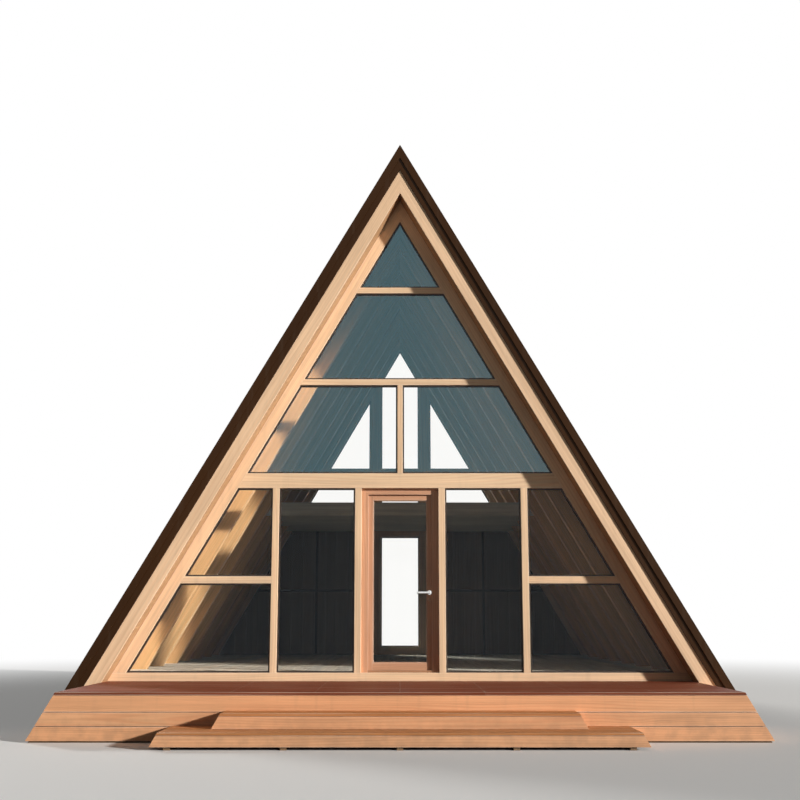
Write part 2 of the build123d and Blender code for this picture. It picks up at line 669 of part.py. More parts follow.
def step(half_width, top, seat, y_front, y_back):
    """One step: tread, three-sided skirt, and bearers across it on its seat."""
    underside = top - STEP_TREAD_THICKNESS
    skirt_bottom = seat if seat else STEP_GROUND_GAP
    skirt_front = y_front + STEP_NOSING
    tread = raked_bar(half_width, top, underside, top, (y_front, y_back))
    skirt = raked_bar(half_width, top, skirt_bottom, underside, (skirt_front, y_back))
    inside_half = half_width - SKIRT_THICKNESS
    reach = inside_half - STEP_BEARER_WIDTH
    frame_front = skirt_front + SKIRT_THICKNESS
    skirt -= raked_bar(inside_half, top, skirt_bottom, underside, (frame_front, y_back))
    bearers = []
    for x in evenly_spaced(-reach, reach, STEP_BEARER_COUNT):
        x_span = (x - STEP_BEARER_WIDTH / 2, x + STEP_BEARER_WIDTH / 2)
        bearers.append(block(x_span, (frame_front, y_back), (seat, underside)))
    return tread, skirt, bearers


def step_nodes():
    """Two wide steps: a low platform against the deck, and an upper step on it."""
    deck_face = DECK_FRONT + DECK_NOSING
    lower_front = DECK_FRONT - 2 * STEP_TREAD_DEPTH
    upper_front = DECK_FRONT - STEP_TREAD_DEPTH
    lower = step(LOWER_STEP_HALF_WIDTH, LOWER_STEP_TOP, 0, lower_front, deck_face)
    upper = step(UPPER_STEP_HALF_WIDTH, UPPER_STEP_TOP, LOWER_STEP_TOP, upper_front, deck_face)
    return {
        "step_treads": [lower[0], upper[0]],
        "step_skirts": [lower[1], upper[1]],
        "step_bearers": lower[2] + upper[2],
    }


def write_nodes(nodes):
    """Write each node to a STEP file of its own."""
    os.makedirs("parts", exist_ok=True)
    for name, solids in nodes.items():
        pieces = [solid for shape in solids for solid in shape.solids()]
        shape = pieces[0] if len(pieces) == 1 else Compound(children=pieces)
        shape.label = name
        export_step(shape, f"parts/{name}.step")


def main():
    """Build every sub-assembly and write its nodes."""
    nodes = {}
    for group in (
        roof_nodes,
        front_wall_nodes,
        door_frame_nodes,
        door_leaf_nodes,
        door_furniture_nodes,
        hinge_nodes,
        base_nodes,
        back_wall_nodes,
        deck_nodes,
        step_nodes,
    ):
        nodes.update(group())
    write_nodes(nodes)


main()
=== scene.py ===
"""Looks of a timber A-frame cabin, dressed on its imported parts.

Lengths are in metres. X runs to the right, -Y out of the glazed front and Z up, with the ground at
Z = 0. "Outward" is a distance measured square to a roof slope from its soffit, as in the part.
"""
from __future__ import annotations

import logging
import math
from dataclasses import dataclass, field
from enum import Enum, IntEnum
from functools import reduce

import bpy
import numpy as np
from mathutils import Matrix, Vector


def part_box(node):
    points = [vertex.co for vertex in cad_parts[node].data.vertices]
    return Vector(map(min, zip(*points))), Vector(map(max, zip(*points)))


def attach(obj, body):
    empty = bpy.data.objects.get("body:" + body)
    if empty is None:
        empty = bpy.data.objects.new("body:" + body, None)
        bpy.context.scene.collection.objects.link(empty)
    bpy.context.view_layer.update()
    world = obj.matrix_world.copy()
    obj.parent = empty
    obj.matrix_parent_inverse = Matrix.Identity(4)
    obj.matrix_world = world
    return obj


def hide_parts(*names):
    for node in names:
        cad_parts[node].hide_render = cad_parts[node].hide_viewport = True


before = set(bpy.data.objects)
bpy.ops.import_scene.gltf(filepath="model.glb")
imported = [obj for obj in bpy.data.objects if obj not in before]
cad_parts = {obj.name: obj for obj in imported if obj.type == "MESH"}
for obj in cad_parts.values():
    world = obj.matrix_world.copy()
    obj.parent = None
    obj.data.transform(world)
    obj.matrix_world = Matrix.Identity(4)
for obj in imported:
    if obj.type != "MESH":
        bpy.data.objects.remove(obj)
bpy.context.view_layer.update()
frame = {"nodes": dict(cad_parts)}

LOG = logging.getLogger("cabin")
Colour = tuple[float, float, float]
Span = tuple[float, float]
Scales = tuple[float, float, float]
Material = bpy.types.Material
AXIS_X = np.array([1.0, 0.0, 0.0])
AXIS_Y = np.array([0.0, 1.0, 0.0])
AXIS_Z = np.array([0.0, 0.0, 1.0])
WHITE = (1.0, 1.0, 1.0)
LEFT = -1
RIGHT = 1
SIDES = ((LEFT, "left"), (RIGHT, "right"))

# Roof: pitch, level of the soffit's apex, and distance of a soffit from the origin
PITCH = math.radians(60.0)
SOFFIT_APEX = 6.440
SOFFIT = SOFFIT_APEX * math.cos(PITCH)

# Walls: front face of each, and width of their raking members
FRONT_WALL = -2.095
BACK_WALL = 4.105
RAKE_WIDTH = 0.134

# Furthest that a board's own stretch of grain lies from the next one's
GRAIN_SHIFT = 20.0


def srgb(red: int, green: int, blue: int) -> Colour:
    """Linear colour of a screen colour given in 0 to 255.

    Args:
        red: Red of the screen colour.
        green: Green of the screen colour.
        blue: Blue of the screen colour.

    Returns:
        The three linear values, 0 to 1.
    """
    share = np.array([red, green, blue]) / 255.0
    linear = np.where(share <= 0.04045, share / 12.92, ((share + 0.055) / 1.055) ** 2.4)
    return tuple(float(value) for value in linear)


class Seed(IntEnum):
    """Start of the random draws of each set of boards or sheets."""

    DECK = 11
    TREADS = 12
    RISERS = 13
    SKIRTS = 14
    LINING = 20
    PANS = 30
    BARGEBOARDS = 35
    RIBS = 38
    DOOR_LEAF = 41
    DOOR_LINING = 42
    FLOOR = 51
    BACK_BOARDS = 52
    BATTENS = 53
    FRONT_GABLE = 61
    BACK_GABLE = 62

    def draws(self, side: int = 0) -> np.random.Generator:
        """Random numbers from this start, with a run of their own for each side."""
        return np.random.default_rng(self.value + side)


class Grain(Enum):
    """Run of the fibres, as the turn that brings them onto the pattern's X axis."""

    LEVEL = (0.0, 0.0, 0.0)
    DEEP = (0.0, 0.0, -math.pi / 2)
    LEFT_SLOPE = (0.0, PITCH, 0.0)
    RIGHT_SLOPE = (0.0, math.pi - PITCH, 0.0)
    OWN = None

    @staticmethod
    def down(side: int) -> Grain:
        """Fibres that run down the slope of one side."""
        return Grain.LEFT_SLOPE if side == LEFT else Grain.RIGHT_SLOPE


class Cap(Enum):
    """How the end of a run of rings is closed."""

    FACE = "one face"
    STRIP = "a strip of faces between the two halves of the ring"


class Shade(Enum):
    """How the faces of a piece are shaded."""

    FLAT = 0.0
    SMOOTH = math.radians(40.0)


def out_of_slope(side: int) -> np.ndarray:
    """Unit vector square out of one roof slope."""
    return np.array([side * math.sin(PITCH), 0.0, math.cos(PITCH)])


@dataclass(frozen=True)
class Plane:
    """Plane that a run is cut to, as a normal and the distance from the origin along it."""

    normal: np.ndarray
    distance: float

    @staticmethod
    def slope(side: int, outward: float = 0.0) -> Plane:
        """Plane of one roof slope, outward of its soffit."""
        return Plane(out_of_slope(side), SOFFIT + outward)

    @staticmethod
    def raked(side: int, half_width: float, level: float) -> Plane:
        """Plane parallel to one roof slope through a half-width at a level."""
        distance = half_width * math.sin(PITCH) + level * math.cos(PITCH)
        return Plane(out_of_slope(side), distance)

    @staticmethod
    def at_x(value: float) -> Plane:
        """Upright plane across X."""
        return Plane(AXIS_X, value)

    @staticmethod
    def at_y(value: float) -> Plane:
        """Upright plane across Y."""
        return Plane(AXIS_Y, value)

    @staticmethod
    def at_z(value: float) -> Plane:
        """Level plane."""
        return Plane(AXIS_Z, value)

    def travel(self, points: np.ndarray, direction: np.ndarray) -> np.ndarray:
        """Distance that each point moves along a direction before it meets the plane.

        Args:
            points: Places, one a row.
            direction: Unit vector of the movement.

        Returns:
            One distance a point: what is left of the plane's own distance, divided by the part of
            the direction that runs along the normal.
        """
        return (self.distance - points @ self.normal) / float(direction @ self.normal)


Cut = Plane | list[Plane]
RIDGE = Plane.at_x(0.0)


@dataclass(frozen=True)
class Axes:
    """Directions of a run: along it, across it and up through its thickness."""

    along: np.ndarray
    across: np.ndarray
    up: np.ndarray

    @staticmethod
    def slope(side: int) -> Axes:
        """Directions down one slope: down it, along the roof, and square out of it."""
        down = np.array([side * math.cos(PITCH), 0.0, -math.sin(PITCH)])
        return Axes(down, AXIS_Y, out_of_slope(side))

    def place(self, flat: np.ndarray) -> np.ndarray:
        """Points in space of flat outline points (across, up)."""
        return flat[:, :1] * self.across + flat[:, 1:] * self.up

    def own(self, points: np.ndarray) -> np.ndarray:
        """Coordinates of points in these directions."""
        return points @ np.stack([self.along, self.across, self.up], axis=1)


LEVEL_AXES = Axes(AXIS_X, AXIS_Y, AXIS_Z)
DEEP_AXES = Axes(AXIS_Y, AXIS_X, AXIS_Z)
UPRIGHT_AXES = Axes(AXIS_Z, AXIS_X, AXIS_Y)


def rectangle(first: Span, second: Span) -> np.ndarray:
    """Corners of a flat rectangle between two opposite corners, in turn from the lowest."""
    low, high = np.minimum(first, second), np.maximum(first, second)
    return np.array([low, (high[0], low[1]), high, (low[0], high[1])], dtype=float)


def grid(x: np.ndarray, y: np.ndarray, z: float) -> np.ndarray:
    """Places at one level with each pair of the X and Y values, one a row."""
    return np.stack(np.meshgrid(x, y, [z], indexing="ij"), axis=-1).reshape(-1, 3)


def rounded(corners: np.ndarray, radius: float, guard: float) -> tuple[np.ndarray, np.ndarray]:
    """Outline with softened corners.

    Each corner becomes three points of a curve: one radius before it, the middle of the quadratic
    curve that the corner pulls, and one radius after it. A guard point lies on each side of them,
    so that wear drawn on the curve fades out within the guard's length.

    Args:
        corners: Corners of the outline, one a row.
        radius: Length taken off each edge at a corner.
        guard: Length of the guard beyond it.

    Returns:
        The outline's points, and 1 for each point on a corner's curve and 0 for each guard.
    """
    before = np.roll(corners, 1, axis=0) - corners
    after = np.roll(corners, -1, axis=0) - corners
    before = before / np.linalg.norm(before, axis=1, keepdims=True)
    after = after / np.linalg.norm(after, axis=1, keepdims=True)
    enter = corners + radius * before
    leave = corners + radius * after
    middle = 0.25 * enter + 0.5 * corners + 0.25 * leave
    far = radius + guard
    rows = [corners + far * before, enter, middle, leave, corners + far * after]
    points = np.stack(rows, axis=1).reshape(-1, 2)
    worn = np.tile([0.0, 1.0, 1.0, 1.0, 0.0], len(corners))
    return points, worn


@dataclass
class Skin:
    """Mesh of one piece while it is made, with the values that its finish reads."""

    points: list[np.ndarray] = field(default_factory=list)
    grain: list[np.ndarray] = field(default_factory=list)
    tint: list[np.ndarray] = field(default_factory=list)
    wear: list[np.ndarray] = field(default_factory=list)
    faces: list[list[int]] = field(default_factory=list)
    count: int = 0

    def rings(self, rings: np.ndarray, axes: Axes, cap: Cap, tint: np.ndarray | float = 0.5,
              wear: np.ndarray | float = 0.0, shift: np.ndarray | float = 0.0) -> None:
        """Adds a closed form given as rings of points in turn.

        Point n of ring s is joined to its neighbours n + 1 and s + 1, and both ends are closed.
        The ring's area vector says which way round it runs, and it is turned to face outwards.

        Args:
            rings: Places, as rings by points by three.
            axes: Directions that the grain is told in.
            cap: How both ends are closed.
            tint: Shade of the stock, for the whole form or each point of a ring.
            wear: Wear, for the whole form or each point of a ring.
            shift: Offset of the grain, for the whole form or each point of a ring.
        """
        stations, size = rings.shape[:2]
        first = rings[0]
        area = np.cross(first, np.roll(first, -1, axis=0)).sum(axis=0)
        forward = (rings[-1] - first).mean(axis=0)
        number = np.arange(stations * size).reshape(stations, size) + self.count
        near, far = number[:-1], number[1:]
        side = np.stack([near, np.roll(near, -1, axis=1), np.roll(far, -1, axis=1), far], axis=-1)
        ends = [number[0][::-1][None, :], number[-1][None, :]]
        if cap is Cap.STRIP:
            step = np.arange(size // 2 - 1)
            strip = np.stack([step, step + 1, size - 2 - step, size - 1 - step], axis=-1)
            ends = [number[0][strip][:, ::-1], number[-1][strip]]
        blocks = [side.reshape(-1, 4), *ends]
        if float(area @ forward) < 0:
            blocks = [block[:, ::-1] for block in blocks]
        for block in blocks:
            self.faces.extend(block.tolist())
        flat = rings.reshape(-1, 3)
        offset = np.broadcast_to(np.asarray(shift, dtype=float), (size, 3))
        self.points.append(flat)
        self.grain.append(axes.own(flat) + np.tile(offset, (stations, 1)))
        for store, value in ((self.tint, tint), (self.wear, wear)):
            row = np.broadcast_to(np.asarray(value, dtype=float), (size,))
            store.append(np.tile(row, stations))
        self.count += stations * size

    def run(self, outline: np.ndarray, axes: Axes, start: Cut, end: Cut, cap: Cap = Cap.FACE,
            **values: np.ndarray | float) -> None:
        """Adds a straight member: an outline that slides between cutting planes.

        Each point moves along the run to the furthest of the start planes, and from the other
        side to the nearest of the end planes.

        Args:
            outline: Flat outline (across, up).
            axes: Directions of the run.
            start: Plane or planes that cut its start.
            end: Plane or planes that cut its end.
            cap: How both ends are closed.
            **values: Tint, wear and shift for rings().
        """
        points = axes.place(outline)
        reach = []
        for cut, pick in ((start, np.max), (end, np.min)):
            planes = cut if isinstance(cut, list) else [cut]
            travel = pick([plane.travel(points, axes.along) for plane in planes], axis=0)
            reach.append(points + travel[:, None] * axes.along)
        self.rings(np.stack(reach), axes, cap, **values)

    def board(self, corners: np.ndarray, axes: Axes, start: Cut, end: Cut,
              chance: np.random.Generator, arris: float) -> None:
        """Adds one board with softened arrises, its own shade and its own stretch of grain.

        Args:
            corners: Corners of its section, in the two axes across its length.
            axes: Axes of the board.
            start: Plane or planes that cut its start.
            end: Plane or planes that cut its end.
            chance: Random draws for its shade and grain.
            arris: Size of the softened arris.
        """
        outline, worn = rounded(corners, arris, 2 * arris)
        shift = chance.uniform(-GRAIN_SHIFT, GRAIN_SHIFT, 3)
        self.run(outline, axes, start, end, tint=chance.uniform(), wear=worn, shift=shift)

    def mesh(self, name: str, shade: Shade) -> bpy.types.Mesh:
        """Makes the mesh and its surface values.

        Args:
            name: Name of the mesh.
            shade: Flat, or smooth across edges below the angle.

        Returns:
            The finished mesh.
        """
        mesh = bpy.data.meshes.new(name)
        mesh.from_pydata(np.concatenate(self.points).tolist(), [], self.faces)
        grain = mesh.attributes.new("grain", "FLOAT_VECTOR", "POINT")
        grain.data.foreach_set("vector", np.concatenate(self.grain).astype(np.float32).ravel())
        for label, store in (("tint", self.tint), ("wear", self.wear)):
            value = mesh.attributes.new(label, "FLOAT", "POINT")
            value.data.foreach_set("value", np.concatenate(store).astype(np.float32))
        smooth = np.full(len(mesh.polygons), shade is Shade.SMOOTH)
        mesh.polygons.foreach_set("use_smooth", smooth)
        if shade is Shade.SMOOTH:
            mesh.set_sharp_from_angle(angle=shade.value)
        mesh.update()
        return mesh


@dataclass(frozen=True)
class Panels:
    """Sheets or boards laid edge to edge: places across them, the dips there, and their values."""

    places: np.ndarray
    dips: np.ndarray
    values: dict[str, np.ndarray]

    @staticmethod
    def laid(span: Span, joints: np.ndarray, half: float, depth: float,
             chance: np.random.Generator) -> Panels:
        """Lays panels over a span, with a vee joint between each two.

        The face is flat apart from each joint, where it dips by the depth over the joint's
        half-width on each side. A joint has three places, before it, in it and after it, and the
        panel's number goes up by one after the second of them. The values run out over the face
        and back under it.

        Args:
            span: Both ends of the row.
            joints: Places of the joints.
            half: Half-width of a joint.
            depth: Depth of a joint.
            chance: Draws for the shade and the stretch of grain of each panel.

        Returns:
            The panels.
        """
        around = joints[:, None] + half * np.array([-1.0, 0.0, 1.0])
        places = np.concatenate([[span[0]], around.ravel(), [span[1]]])
        dips = np.zeros(len(places))
        dips[2:-1:3] = depth
        steps = np.arange(len(joints))[:, None] + np.array([0, 0, 1])
        number = np.concatenate([[0], steps.ravel(), [len(joints)]])
        number = np.concatenate([number, number[::-1]])
        shades = chance.uniform(size=len(joints) + 1)
        shifts = chance.uniform(-GRAIN_SHIFT, GRAIN_SHIFT, (len(joints) + 1, 3))
        return Panels(places, dips, {"tint": shades[number], "shift": shifts[number]})


def make_piece(name: str, skin: Skin, material: Material, body: str = "cabin",
               replaces: tuple[str, ...] = (), shade: Shade = Shade.FLAT) -> None:
    """Turns a skin into a piece of the part.

    Args:
        name: Name of the piece.
        skin: Its mesh in the making.
        material: Its finish.
        body: Body that it moves with.
        replaces: Nodes that it stands for.
        shade: Flat or smooth faces.
    """
    piece = bpy.data.objects.new(name, skin.mesh(name, shade))
    bpy.context.scene.collection.objects.link(piece)
    piece.data.materials.append(material)
    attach(piece, body)
    if replaces:
        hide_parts(*replaces)
    LOG.info("%s: %d faces", name, len(piece.data.polygons))


def dress(material: Material, *nodes: str) -> None:
    """Gives carried-over nodes a finish.

    Args:
        material: The finish.
        *nodes: Names of the nodes.
    """
    for node in nodes:
        mesh = frame["nodes"][node].data
        mesh.materials.clear()
        mesh.materials.append(material)
        LOG.info("%s: %s", node, material.name)


class Graph:
    """Short way to place nodes in one tree and join them."""

    def __init__(self, tree: bpy.types.NodeTree) -> None:
        """Keeps the tree."""
        self.tree = tree

    def feed(self, node: bpy.types.Node, inputs: dict[str | int, object]) -> None:
        """Joins a socket to each input, or sets its value.

        Args:
            node: The node.
            inputs: Value or feeding socket of each input.
        """
        for name, value in inputs.items():
            socket = node.inputs[name]
            if isinstance(value, bpy.types.NodeSocket):
                self.tree.links.new(value, socket)
            else:
                socket.default_value = (*value, 1.0) if socket.type == "RGBA" else value

    def node(self, kind: str, inputs: dict[str | int, object] | None = None,
             **settings: object) -> bpy.types.Node:
        """Adds a node.

        Args:
            kind: Type of the node, without its common first words.
            inputs: Value or feeding socket of each input.
            **settings: Properties of the node.

        Returns:
            The node.
        """
        node = self.tree.nodes.new("ShaderNode" + kind)
        for name, value in settings.items():
            setattr(node, name, value)
        self.feed(node, inputs or {})
        return node

    def effect(self, group: bpy.types.NodeTree,
               inputs: dict[str, object]) -> bpy.types.bpy_prop_collection:
        """Outputs of a shared group with its inputs set."""
        return self.node("Group", inputs, node_tree=group).outputs

    def place(self) -> bpy.types.NodeSocket:
        """Coordinates of the place on the part."""
        return self.node("TexCoord").outputs["Object"]

    def drawn(self, name: str, output: str = "Fac") -> bpy.types.NodeSocket:
        """Value that the mesh holds at each point."""
        return self.node("Attribute", attribute_name=name).outputs[output]

    def math(self, operation: str, first: object, second: object = 0.0) -> bpy.types.NodeSocket:
        """Result of one sum on two values."""
        return self.node("Math", {0: first, 1: second}, operation=operation).outputs[0]

    def add(self, *values: object) -> bpy.types.NodeSocket:
        """Sum of values, taken in turn."""
        return reduce(lambda first, second: self.math("ADD", first, second), values)

    def times(self, *values: object) -> bpy.types.NodeSocket:
        """Product of values, taken in turn."""
        return reduce(lambda first, second: self.math("MULTIPLY", first, second), values)

    def blend(self, share: object, first: object, second: object,
              way: str = "MIX") -> bpy.types.NodeSocket:
        """Colour between two colours."""
        inputs = {0: share, 6: first, 7: second}
        return self.node("Mix", inputs, data_type="RGBA", blend_type=way).outputs[2]

    def shaded(self, colour: object, tone: bpy.types.NodeSocket) -> bpy.types.NodeSocket:
        """Colour times a tone, which is 1 where it stays as it is."""
        grey = self.node("CombineColor", {0: tone, 1: tone, 2: tone}).outputs[0]
        return self.blend(1.0, colour, grey, "MULTIPLY")

    def span(self, value: object, low: float, high: float, to_low: float = 0.0,
             to_high: float = 1.0) -> bpy.types.NodeSocket:
        """Value eased from one span to another, which may run the other way.

        Args:
            value: Value or socket to ease.
            low: Start of the first span.
            high: End of the first span.
            to_low: Result at the start.
            to_high: Result at the end.

        Returns:
            The eased value.
        """
        inputs = {"Value": value, "From Min": low, "From Max": high,
                  "To Min": to_low, "To Max": to_high}
        return self.node("MapRange", inputs, interpolation_type="SMOOTHSTEP").outputs[0]

    def stretched(self, vector: object, scale: Scales = (1.0, 1.0, 1.0),
                  turn: tuple[float, float, float] = (0.0, 0.0, 0.0)) -> bpy.types.NodeSocket:
        """Coordinates turned and scaled."""
        inputs = {"Vector": vector, "Scale": scale, "Rotation": turn}
        return self.node("Mapping", inputs).outputs[0]

    def noise(self, vector: object, scale: float | Scales, detail: float = 2.0,
              distortion: float = 0.0) -> bpy.types.NodeSocket:
        """Smooth random value over the surface.

        Args:
            vector: Coordinates.
            scale: Waves a metre, in every direction alike or in each one.
            detail: Number of finer waves on top.
            distortion: How far the pattern bends itself.

        Returns:
            The value.
        """
        if isinstance(scale, tuple):
            vector, scale = self.stretched(vector, scale), 1.0
        inputs = {"Vector": vector, "Scale": scale, "Detail": detail, "Distortion": distortion}
        return self.node("TexNoise", inputs).outputs[0]

    def bump(self, height: bpy.types.NodeSocket, depth: float) -> bpy.types.NodeSocket:
        """Normal of a surface with a height that runs over a depth."""
        inputs = {"Height": height, "Strength": 1.0, "Distance": depth}
        return self.node("Bump", inputs).outputs[0]


class Socket(Enum):
    """Types of a group's inputs and outputs."""

    VECTOR = "NodeSocketVector"
    VALUE = "NodeSocketFloat"
    COLOUR = "NodeSocketColor"


class Effect:
    """Node group in the making, with named inputs and outputs."""

    def __init__(self, name: str, inputs: dict[str, Socket], outputs: dict[str, Socket]) -> None:
        """Starts the group.

        Args:
            name: Name of the group.
            inputs: Name and type of each input.
            outputs: Name and type of each output.
        """
        self.tree = bpy.data.node_groups.new(name, "ShaderNodeTree")
        for direction, sockets in (("INPUT", inputs), ("OUTPUT", outputs)):
            for label, kind in sockets.items():
                self.tree.interface.new_socket(label, in_out=direction, socket_type=kind.value)
        self.graph = Graph(self.tree)
        self.given = self.tree.nodes.new("NodeGroupInput").outputs

    def close(self, results: dict[str, bpy.types.NodeSocket]) -> bpy.types.NodeTree:
        """The finished group, with its results joined to its outputs."""
        self.graph.feed(self.tree.nodes.new("NodeGroupOutput"), results)
        return self.tree


def timber_group() -> bpy.types.NodeTree:
    """Sawn timber: growth rings, streaks, fibres and small knots along the pattern's X axis.

    The rings are the sine of a phase that rises across the board and bends with a long drawn-out
    noise, so that they close into arches as on a sawn face. Each knot pushes the phase aside.

    Returns:
        The group. It puts out colour, a value for roughness, and height.
    """
    effect = Effect(
        "timber_grain",
        {
            "Coordinates": Socket.VECTOR,
            "Tint": Socket.VALUE,
            "Wear": Socket.VALUE,
            "Early Wood": Socket.COLOUR,
            "Late Wood": Socket.COLOUR,
            "Ring Contrast": Socket.VALUE,
            "Shade Range": Socket.VALUE,
            "Knots": Socket.VALUE,
        },
        {"Colour": Socket.COLOUR, "Roughness": Socket.VALUE, "Height": Socket.VALUE},
    )
    graph, given = effect.graph, effect.given
    place = given["Coordinates"]
    axes = graph.node("SeparateXYZ", {0: place}).outputs
    figure = graph.noise(place, (0.16, 2.2, 2.2), 2.0, 0.2)
    drawn_out = graph.stretched(place, (0.55, 2.4, 2.4))
    cells = graph.node("TexVoronoi", {"Vector": drawn_out, "Scale": 1.0}).outputs
    pick = graph.node("SeparateColor", {0: cells["Color"]}).outputs[0]
    chosen = graph.span(pick, 0.45, 0.5)
    knot = graph.times(graph.span(cells["Distance"], 0.03, 0.0), chosen, given["Knots"])
    bend = graph.times(graph.span(cells["Distance"], 0.2, 0.0), chosen)
    slant = graph.add(graph.times(axes[1], 34.0), graph.times(axes[2], 41.0))
    phase = graph.add(slant, graph.times(figure, 17.0), bend)
    wave = graph.math("SINE", graph.times(phase, 2 * math.pi))
    rings = graph.math("POWER", graph.span(wave, -1.0, 1.0), 2.2)
    streak = graph.noise(place, (0.7, 24.0, 24.0), 3.0)
    fibre = graph.noise(place, (6.0, 260.0, 260.0), 2.0)
    cloud = graph.noise(place, 0.9, 1.0)
    late = graph.times(rings, given["Ring Contrast"])
    colour = graph.blend(late, given["Early Wood"], given["Late Wood"])
    tone = graph.add(
        graph.span(streak, 0.25, 0.75, -0.11, 0.09),
        graph.span(fibre, 0.2, 0.8, -0.05, 0.05),
        graph.span(cloud, 0.25, 0.75, -0.06, 0.06),
        graph.times(graph.math("SUBTRACT", given["Tint"], 0.5), given["Shade Range"]),
        1.0,
    )
    colour = graph.shaded(colour, tone)
    warmth = graph.times(given["Tint"], 0.18)
    colour = graph.blend(warmth, colour, (1.0, 0.72, 0.5), "MULTIPLY")
    colour = graph.blend(knot, colour, (0.09, 0.04, 0.018))
    worn = graph.times(given["Wear"], graph.span(streak, 0.35, 0.7, 0.1, 0.45))
    colour = graph.blend(worn, colour, (0.86, 0.72, 0.58))
    rough = graph.add(graph.span(fibre, 0.2, 0.8, 0.46, 0.62), graph.times(rings, 0.08))
    rough = graph.math("SUBTRACT", rough, graph.times(worn, 0.25))
    height = graph.add(graph.times(fibre, 0.6), graph.times(rings, 0.25), graph.times(streak, 0.5))
    return effect.close({"Colour": colour, "Roughness": rough, "Height": height})


def weather_group() -> bpy.types.NodeTree:
    """Soil splashed up from the ground and faint rain marks.

    Soil fades out with height above the ground, broken up by noise. Rain marks are noise drawn
    out along Z. The stronger of the two shows.

    Returns:
        The group. It puts out the changed colour.
    """
    effect = Effect(
        "weather_marks",
        {
            "Colour": Socket.COLOUR,
            "Place": Socket.VECTOR,
            "Soil": Socket.COLOUR,
            "Amount": Socket.VALUE,
            "Reach": Socket.VALUE,
        },
        {"Colour": Socket.COLOUR},
    )
    graph, given = effect.graph, effect.given
    place = given["Place"]
    level = graph.node("SeparateXYZ", {0: place}).outputs[2]
    share = graph.math("DIVIDE", level, given["Reach"])
    broken = graph.span(graph.noise(place, 9.0, 5.0), 0.35, 0.7)
    splash = graph.times(graph.span(share, 1.0, 0.0), broken)
    rain = graph.noise(place, (14.0, 14.0, 0.8), 3.0)
    marks = graph.times(graph.span(rain, 0.5, 0.8), 0.35)
    cover = graph.times(graph.math("MAXIMUM", splash, marks), given["Amount"])
    return effect.close({"Colour": graph.blend(cover, given["Colour"], given["Soil"])})


def sheet_group() -> bpy.types.NodeTree:
    """Painted metal sheet: fine orange peel, cloudy gloss and dust run down the slope.

    Returns:
        The group. It puts out a mask for dust, a value for roughness, and height.
    """
    effect = Effect(
        "painted_sheet",
        {"Coordinates": Socket.VECTOR, "Dust": Socket.VALUE},
        {"Dust": Socket.VALUE, "Roughness": Socket.VALUE, "Height": Socket.VALUE},
    )
    graph, given = effect.graph, effect.given
    place = given["Coordinates"]
    peel = graph.noise(place, 420.0, 2.0)
    cloud = graph.noise(place, 1.6, 4.0, 0.4)
    runs = graph.noise(place, (0.35, 11.0, 11.0), 4.0)
    patches = graph.span(graph.noise(place, 4.5, 6.0), 0.3, 0.75, 0.25, 1.0)
    dust = graph.times(graph.span(runs, 0.42, 0.78), patches, given["Dust"])
    rough = graph.add(graph.span(cloud, 0.3, 0.7, 0.36, 0.5), graph.times(dust, 0.3))
    height = graph.add(graph.times(peel, 0.35), graph.times(cloud, 0.65))
    return effect.close({"Dust": dust, "Roughness": rough, "Height": height})


@dataclass(frozen=True)
class Groups:
    """Shared effects, built once."""

    timber: bpy.types.NodeTree
    weather: bpy.types.NodeTree
    sheet: bpy.types.NodeTree

    @staticmethod
    def build() -> Groups:
        """Builds each group."""
        return Groups(timber_group(), weather_group(), sheet_group())


def new_material(name: str) -> tuple[Material, Graph, bpy.types.Node]:
    """Starts a material.

    Args:
        name: Name of the material.

    Returns:
        The material, a graph on its nodes, and its shader.
    """
    material = bpy.data.materials.new(name)
    material.use_nodes = True
    shader = material.node_tree.nodes["Principled BSDF"]
    return material, Graph(material.node_tree), shader


def finish_surface(graph: Graph, share: bpy.types.NodeSocket, first: bpy.types.Node,
                   second: bpy.types.Node) -> None:
    """Gives a material the mix of two shaders as its surface."""
    both = graph.node("MixShader", {0: share, 1: first.outputs[0], 2: second.outputs[0]})
    graph.feed(graph.tree.nodes["Material Output"], {"Surface": both.outputs[0]})


@dataclass(frozen=True)
class Timber:
    """Oiled or stained timber.

    Contrast is that of the growth rings, and shades is the spread of tone between boards. Gloss is
    taken off the roughness, sheen is the specular level, wear the share of the mesh's wear that
    shows, relief the depth of the grain, and soil_reach the height that soil splashes to.
    """

    name: str
    early: Colour
    late: Colour
    contrast: float = 0.4
    shades: float = 0.1
    knots: float = 0.4
    gloss: float = 0.0
    sheen: float = 0.4
    wear: float = 1.0
    relief: float = 0.0006
    soil: float = 0.25
    soil_reach: float = 0.45
    soil_colour: Colour = (0.16, 0.12, 0.08)

    def build(self, groups: Groups, grain: Grain) -> Material:
        """Makes the material.

        Args:
            groups: Shared effects.
            grain: Run of the fibres.

        Returns:
            The material.
        """
        material, graph, shader = new_material(f"{self.name}_{grain.name.lower()}")
        place = graph.place()
        if grain is Grain.OWN:
            own = graph.drawn("grain", "Vector")
            tint = graph.drawn("tint")
            wear = graph.times(graph.drawn("wear"), self.wear)
        else:
            own = graph.stretched(place, turn=grain.value)
            tint = 0.5
            wear = 0.0
        wood = graph.effect(groups.timber, {
            "Coordinates": own,
            "Tint": tint,
            "Wear": wear,
            "Early Wood": self.early,
            "Late Wood": self.late,
            "Ring Contrast": self.contrast,
            "Shade Range": self.shades,
            "Knots": self.knots,
        })
        marks = graph.effect(groups.weather, {
            "Colour": wood["Colour"],
            "Place": place,
            "Soil": self.soil_colour,
            "Amount": self.soil,
            "Reach": self.soil_reach,
        })
        graph.feed(shader, {
            "Base Color": marks["Colour"],
            "Roughness": graph.math("SUBTRACT", wood["Roughness"], self.gloss),
            "Specular IOR Level": self.sheen,
            "Normal": graph.bump(wood["Height"], self.relief),
        })
        return material


